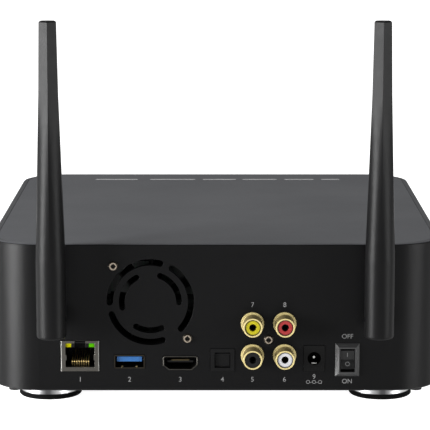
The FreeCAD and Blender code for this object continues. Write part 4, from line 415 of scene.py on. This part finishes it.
def spun_cup(name):
    """Polished cup, dark along its middle: stands in for what a turned wall reflects."""
    paint = Paint(name, (0.05, 0.05, 0.052), 0.34, 1.0)
    from_centre = paint.number_step("SUBTRACT", paint.coordinate("X"), middle_of("foot_cups")[0])
    cup_middle = half_width("foot_cups") - CUP_RADIUS
    sideways = paint.number_step("ABSOLUTE", from_centre)
    sideways = paint.number_step("SUBTRACT", sideways, cup_middle)
    sideways = paint.number_step("ABSOLUTE", sideways)
    paint.vary_colour(sideways, (0.38, 0.38, 0.385), 0.06 * CUP_RADIUS, 0.5 * CUP_RADIUS)
    paint.vary_roughness(paint.noise(150, 5), 0.04)
    paint.bump(paint.noise(900, 3, (1, 1, 0.02)), 0.000008, 0.4)
    return paint.material


def screw_spots():
    """The middles of the rear screws, found from the corners of their shared node."""
    node = frame["nodes"]["rear_screws"]
    groups = []
    for vertex in node.data.vertices:
        x, y, z = node.matrix_world @ vertex.co
        near = [g for g in groups if math.hypot(g[0][0] - x, g[0][2] - z) < SCREW_APART]
        if near:
            near[0].append((x, y, z))
        else:
            groups.append([(x, y, z)])
    return [[(min(axis) + max(axis)) / 2 for axis in zip(*group)] for group in groups]


def screw_head(name):
    """Nickel screw with a dark middle: stands in for the shade in its crossed recess."""
    paint = Paint(name, (0.006, 0.0055, 0.005), 0.3, 1.0)
    first, *others = [paint.distance(spot) for spot in screw_spots()]
    nearest = first
    for reach in others:
        nearest = paint.number_step("MINIMUM", nearest, reach)
    paint.vary_colour(nearest, (0.2, 0.17, 0.135), 0.9 * MM, 1.2 * MM)
    paint.plated_surface(depth=0.000008)
    return paint.material


def circuit_board(name):
    """Solder mask over traces: a green that is lighter where copper runs beneath."""
    green, trace = (0.003, 0.016, 0.009), (0.006, 0.04, 0.02)
    paint = Paint(name, green, 0.32)
    lanes = paint.nodes.new("ShaderNodeTexBrick")
    lanes.inputs["Scale"].default_value = 140
    lanes.inputs["Mortar Size"].default_value = 0.06
    lanes.inputs["Color1"].default_value = (0, 0, 0, 1)
    lanes.inputs["Color2"].default_value = (0.25, 0.25, 0.25, 1)
    lanes.inputs["Mortar"].default_value = (1, 1, 1, 1)
    paint.links.new(paint.stretched((1, 2.2, 1)), lanes.inputs["Vector"])
    paint.vary_colour(lanes.outputs["Color"], trace, 0.0, 1.0)
    paint.bump(lanes.outputs["Color"], 0.00003, 0.5)
    return paint.material


# Each row is a finish and what it is given after its name.  Painted and moulded rows give the
# colour, the roughness and the specular level; plated and brushed rows the first two.

PAINTS = {
    "shell_black": (shell_finish,),
    "top_grey": (painted, TOP_GREY_AND_SHEEN, 0.5, 0.3),
    "chassis_black": (painted, (0.008, 0.008, 0.0085), 0.55, 0.3),
    "fascia_black": (moulded, (0.006, 0.006, 0.0065), 0.4, 0.3),
    "window_smoke": (tinted, (0.002, 0.002, 0.0025), 0.06, 0.2, 0.15),
    "circuit_board": (circuit_board,),
    "heatsink_aluminium": (brushed, (0.55, 0.55, 0.57), 0.4),
    "jack_steel": (plated, JACK_STEEL, 0.3),
    "jack_black": (moulded, DEEP_BLACK, 0.45, 0.06),
    "contact_gold": (contact_plating,),
    "phono_gold": (phono_barrel,),
    "light_yellow": (tinted, (0.15, 0.14, 0.0), 0.4, 0.02, 0.0, 0.2),
    "light_green": (tinted, (0.029, 0.15, 0.0), 0.4, 0.02, 0.0, 0.2),
    "usb_blue": (moulded, (0.006, 0.037, 0.108), 0.4, 0.2),
    "insert_yellow": (phono_insert, "rca_insert_yellow", (0.17, 0.148, 0.003)),
    "insert_red": (phono_insert, "rca_insert_red", (0.125, 0.011, 0.011)),
    "insert_black": (phono_insert, "rca_insert_black", DEEP_BLACK),
    "insert_white": (phono_insert, "rca_insert_white", (0.21, 0.21, 0.22)),
    "fan_black": (moulded, (0.001, 0.001, 0.001), 0.5, 0.04),
    "screw_steel": (plated, (0.28, 0.28, 0.29), 0.3),
    "foot_chrome": (spun_cup,),
    "foot_rubber": (rubbery,),
    "antenna_black": (moulded, BLACK, 0.41, 0.05, 0.015),
    "socket_black": (painted, BLACK, 0.35, 0.1),
    "pin_steel": (plated, (0.1, 0.1, 0.1), 0.25),
    "lead_black": (rubbery,),
    "cage_steel": (brushed, (0.6, 0.61, 0.62), 0.42),
    "tray_black": (moulded, (0.008, 0.008, 0.0085), 0.5, 0.3),
    "bezel_black": (moulded, (0.007, 0.007, 0.0075), 0.42, 0.3),
    "lever_black": (moulded, (0.009, 0.009, 0.0095), 0.3, 0.4),
    "button_black": (moulded, (0.012, 0.012, 0.0125), 0.35, 0.4),
    "drive_casting": (painted, (0.32, 0.32, 0.33), 0.45, 0.5, 0.9, 900, 0.00006),
    "drive_lid": (brushed, (0.66, 0.66, 0.67), 0.3),
}

# Nodes that look different from the rest of their slot.

NODE_PAINTS = {
    "case_screws": (painted, BLACK, 0.4, SATIN),
    "rear_screws": (screw_head,),
    "lan_shell": (network_shell,),
    "usb_shell": (plated, (0.021, 0.018, 0.014), 0.3),
    "hdmi_shell": (plated, (0.038, 0.036, 0.032), 0.3),
    "dc_contacts": (plated, (0.3, 0.3, 0.29), 0.3),
    "rocker_frame": (moulded, (0.006, 0.006, 0.0062), 0.35, 0.35),
    "rocker": (moulded, (0.0025, 0.0025, 0.0026), 0.35, 0.16),
    "optical_jack": (moulded, BLACK, 0.4, SATIN),
    "optical_shutter": (moulded, BLACK, 0.4, SATIN),
}

EDGE_BREAK = 0.12 * MM
WELD_REACH = 0.000002
SHARP_EDGE = math.radians(32)


def soften_edges(thing):
    weld = thing.modifiers.new("weld", "WELD")
    weld.merge_threshold = WELD_REACH
    bevel = thing.modifiers.new("edge_break", "BEVEL")
    bevel.width = EDGE_BREAK
    bevel.segments = 2
    bevel.limit_method = "ANGLE"
    bevel.angle_limit = SHARP_EDGE
    bevel.use_clamp_overlap = True
    bevel.harden_normals = False
    normals = thing.modifiers.new("face_normals", "WEIGHTED_NORMAL")
    normals.keep_sharp = True


def dress_nodes():
    """Paints every CAD node by its slot or by its own row, and softens its edges."""
    made = {slot: paint(slot, *given) for slot, (paint, *given) in PAINTS.items()}
    for name, (paint, *given) in NODE_PAINTS.items():
        made[name] = paint(name, *given)
    for entry in frame["record"]["subparts"]:
        name = entry["node"]
        node = frame["nodes"][name]
        key = name if name in NODE_PAINTS else entry["material_slot"]
        node.data.materials.clear()
        node.data.materials.append(made[key])
        soften_edges(node)


# ---- printed marks -----------------------------------------------------------------------------

PRINT_THICKNESS = 0.03 * MM
CAPITAL_HEIGHT = 0.7
STANDING = Matrix.Rotation(math.pi, 4, "Z") @ Matrix.Rotation(math.pi / 2, 4, "X")

NUMBER_HEIGHT = 2.1 * MM
LOW_LINE = UNDERSIDE + 5.0 * MM
HIGH_LINE = UNDERSIDE + 38.2 * MM
SWITCH_WORD_HEIGHT = 2.0 * MM
OFF_RISE = 10.3 * MM
ON_DROP = 9.7 * MM
POLARITY_HEIGHT = 1.6 * MM
POLARITY_LINE = UNDERSIDE + 3.85 * MM
SUPPLY_NUMBER_RISE = 1.2 * MM

# The left and right ends of each dash, in millimetres from the middle.
TOP_DASHES = (
    (61.8, 40.2),
    (33.6, 10.4),
    (6.3, -10.6),
    (-14.2, -31.7),
    (-35.8, -50.7),
    (-54.8, -64.1),
)
DASH_DEPTH = 2.0 * MM
DASH_ROW = FRONT + 18.4 * MM

# Name, mark, distance out from the hinge, height over it, and the slope of the face.
ROCKER_HINGE = REAR - 1.2 * MM
ROCKER_MARK_HEIGHT = 1.9 * MM
ROCKER_MARKS = (
    ("rocker_bar_mark", "I", 2.42 * MM, 2.3 * MM, math.radians(-4.9)),
    ("rocker_ring_mark", "O", 2.92 * MM, -1.6 * MM, math.radians(20.7)),
)


def facing_rear(x, z):
    """The matrix that stands flat work up on the rear panel, readable from behind."""
    return Matrix.Translation((x, REAR, z)) @ STANDING


def from_curve(name, curve, placed):
    """A mesh piece made from a text."""
    source = bpy.data.objects.new(name + "_curve", curve)
    bpy.context.scene.collection.objects.link(source)
    bpy.context.view_layer.update()
    graph = bpy.context.evaluated_depsgraph_get()
    mesh = bpy.data.meshes.new_from_object(source.evaluated_get(graph))
    bpy.data.objects.remove(source)
    mesh.transform(placed)
    piece = bpy.data.objects.new(name, mesh)
    bpy.context.scene.collection.objects.link(piece)
    return piece


def printed_text(name, words, height, placed, ink, body="housing"):
    curve = bpy.data.curves.new(name, "FONT")
    curve.body = words
    curve.align_x = "CENTER"
    curve.align_y = "CENTER"
    curve.size = height / CAPITAL_HEIGHT
    curve.extrude = PRINT_THICKNESS
    piece = from_curve(name, curve, placed)
    piece.data.materials.clear()
    piece.data.materials.append(ink)
    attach(piece, body)


def printed_marks():
    """Plain numbers in place of the port names, and the switch's own ON and OFF."""
    ink = printed_ink("rear_ink", (0.09, 0.09, 0.09), (0.065, 0.065, 0.065))
    supply_x = middle_of("dc_jack")[0]
    columns = {
        "1": (middle_of("lan_shell")[0], LOW_LINE),
        "2": (middle_of("usb_shell")[0], LOW_LINE),
        "3": (middle_of("hdmi_shell")[0], LOW_LINE),
        "4": (middle_of("optical_jack")[0], LOW_LINE),
        "5": (middle_of("rca_insert_black")[0], LOW_LINE),
        "6": (middle_of("rca_insert_white")[0], LOW_LINE),
        "7": (middle_of("rca_insert_yellow")[0], HIGH_LINE),
        "8": (middle_of("rca_insert_red")[0], HIGH_LINE),
        "9": (supply_x, LOW_LINE + SUPPLY_NUMBER_RISE),
    }
    for number, (x, z) in columns.items():
        printed_text("port_number_" + number, number, NUMBER_HEIGHT, facing_rear(x, z), ink)
    switch_x, _, switch_z = middle_of("rocker_frame")
    above = facing_rear(switch_x, switch_z + OFF_RISE)
    below = facing_rear(switch_x, switch_z - ON_DROP)
    printed_text("switch_off", "OFF", SWITCH_WORD_HEIGHT, above, ink)
    printed_text("switch_on", "ON", SWITCH_WORD_HEIGHT, below, ink)
    polarity = facing_rear(supply_x, POLARITY_LINE)
    printed_text("polarity_rings", "O-O-O", POLARITY_HEIGHT, polarity, ink)


def rocker_marks():
    """The bar and the ring on the two faces of the rocker, which is pressed in at the top."""
    white = printed_ink("rocker_ink", (0.06, 0.06, 0.06), (0.045, 0.045, 0.045))
    x, _, z = middle_of("rocker_frame")
    for name, mark, out, up, slope in ROCKER_MARKS:
        turn = Matrix.Rotation(slope, 4, "X")
        placed = Matrix.Translation((x, ROCKER_HINGE + out, z + up)) @ turn @ STANDING
        printed_text(name, mark, ROCKER_MARK_HEIGHT, placed, white, "rocker")


def top_dashes():
    """Six plain pale dashes on the top plate, near its front edge."""
    pale = printed_ink("top_ink", (0.42, 0.42, 0.42), (0.3, 0.3, 0.3))
    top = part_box("top_plate")[1][2]
    for number, (left, right) in enumerate(TOP_DASHES, 1):
        bpy.ops.mesh.primitive_cube_add(size=1)
        dash = bpy.context.object
        dash.name = f"top_dash_{number}"
        size = ((left - right) * MM, DASH_DEPTH, 2 * PRINT_THICKNESS)
        dash.data.transform(Matrix.Diagonal((*size, 1)))
        dash.data.transform(Matrix.Translation(((left + right) / 2 * MM, DASH_ROW, top)))
        dash.data.materials.append(pale)
        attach(dash, "housing")


dress_nodes()
printed_marks()
rocker_marks()
top_dashes()
add_camera()
add_stage()
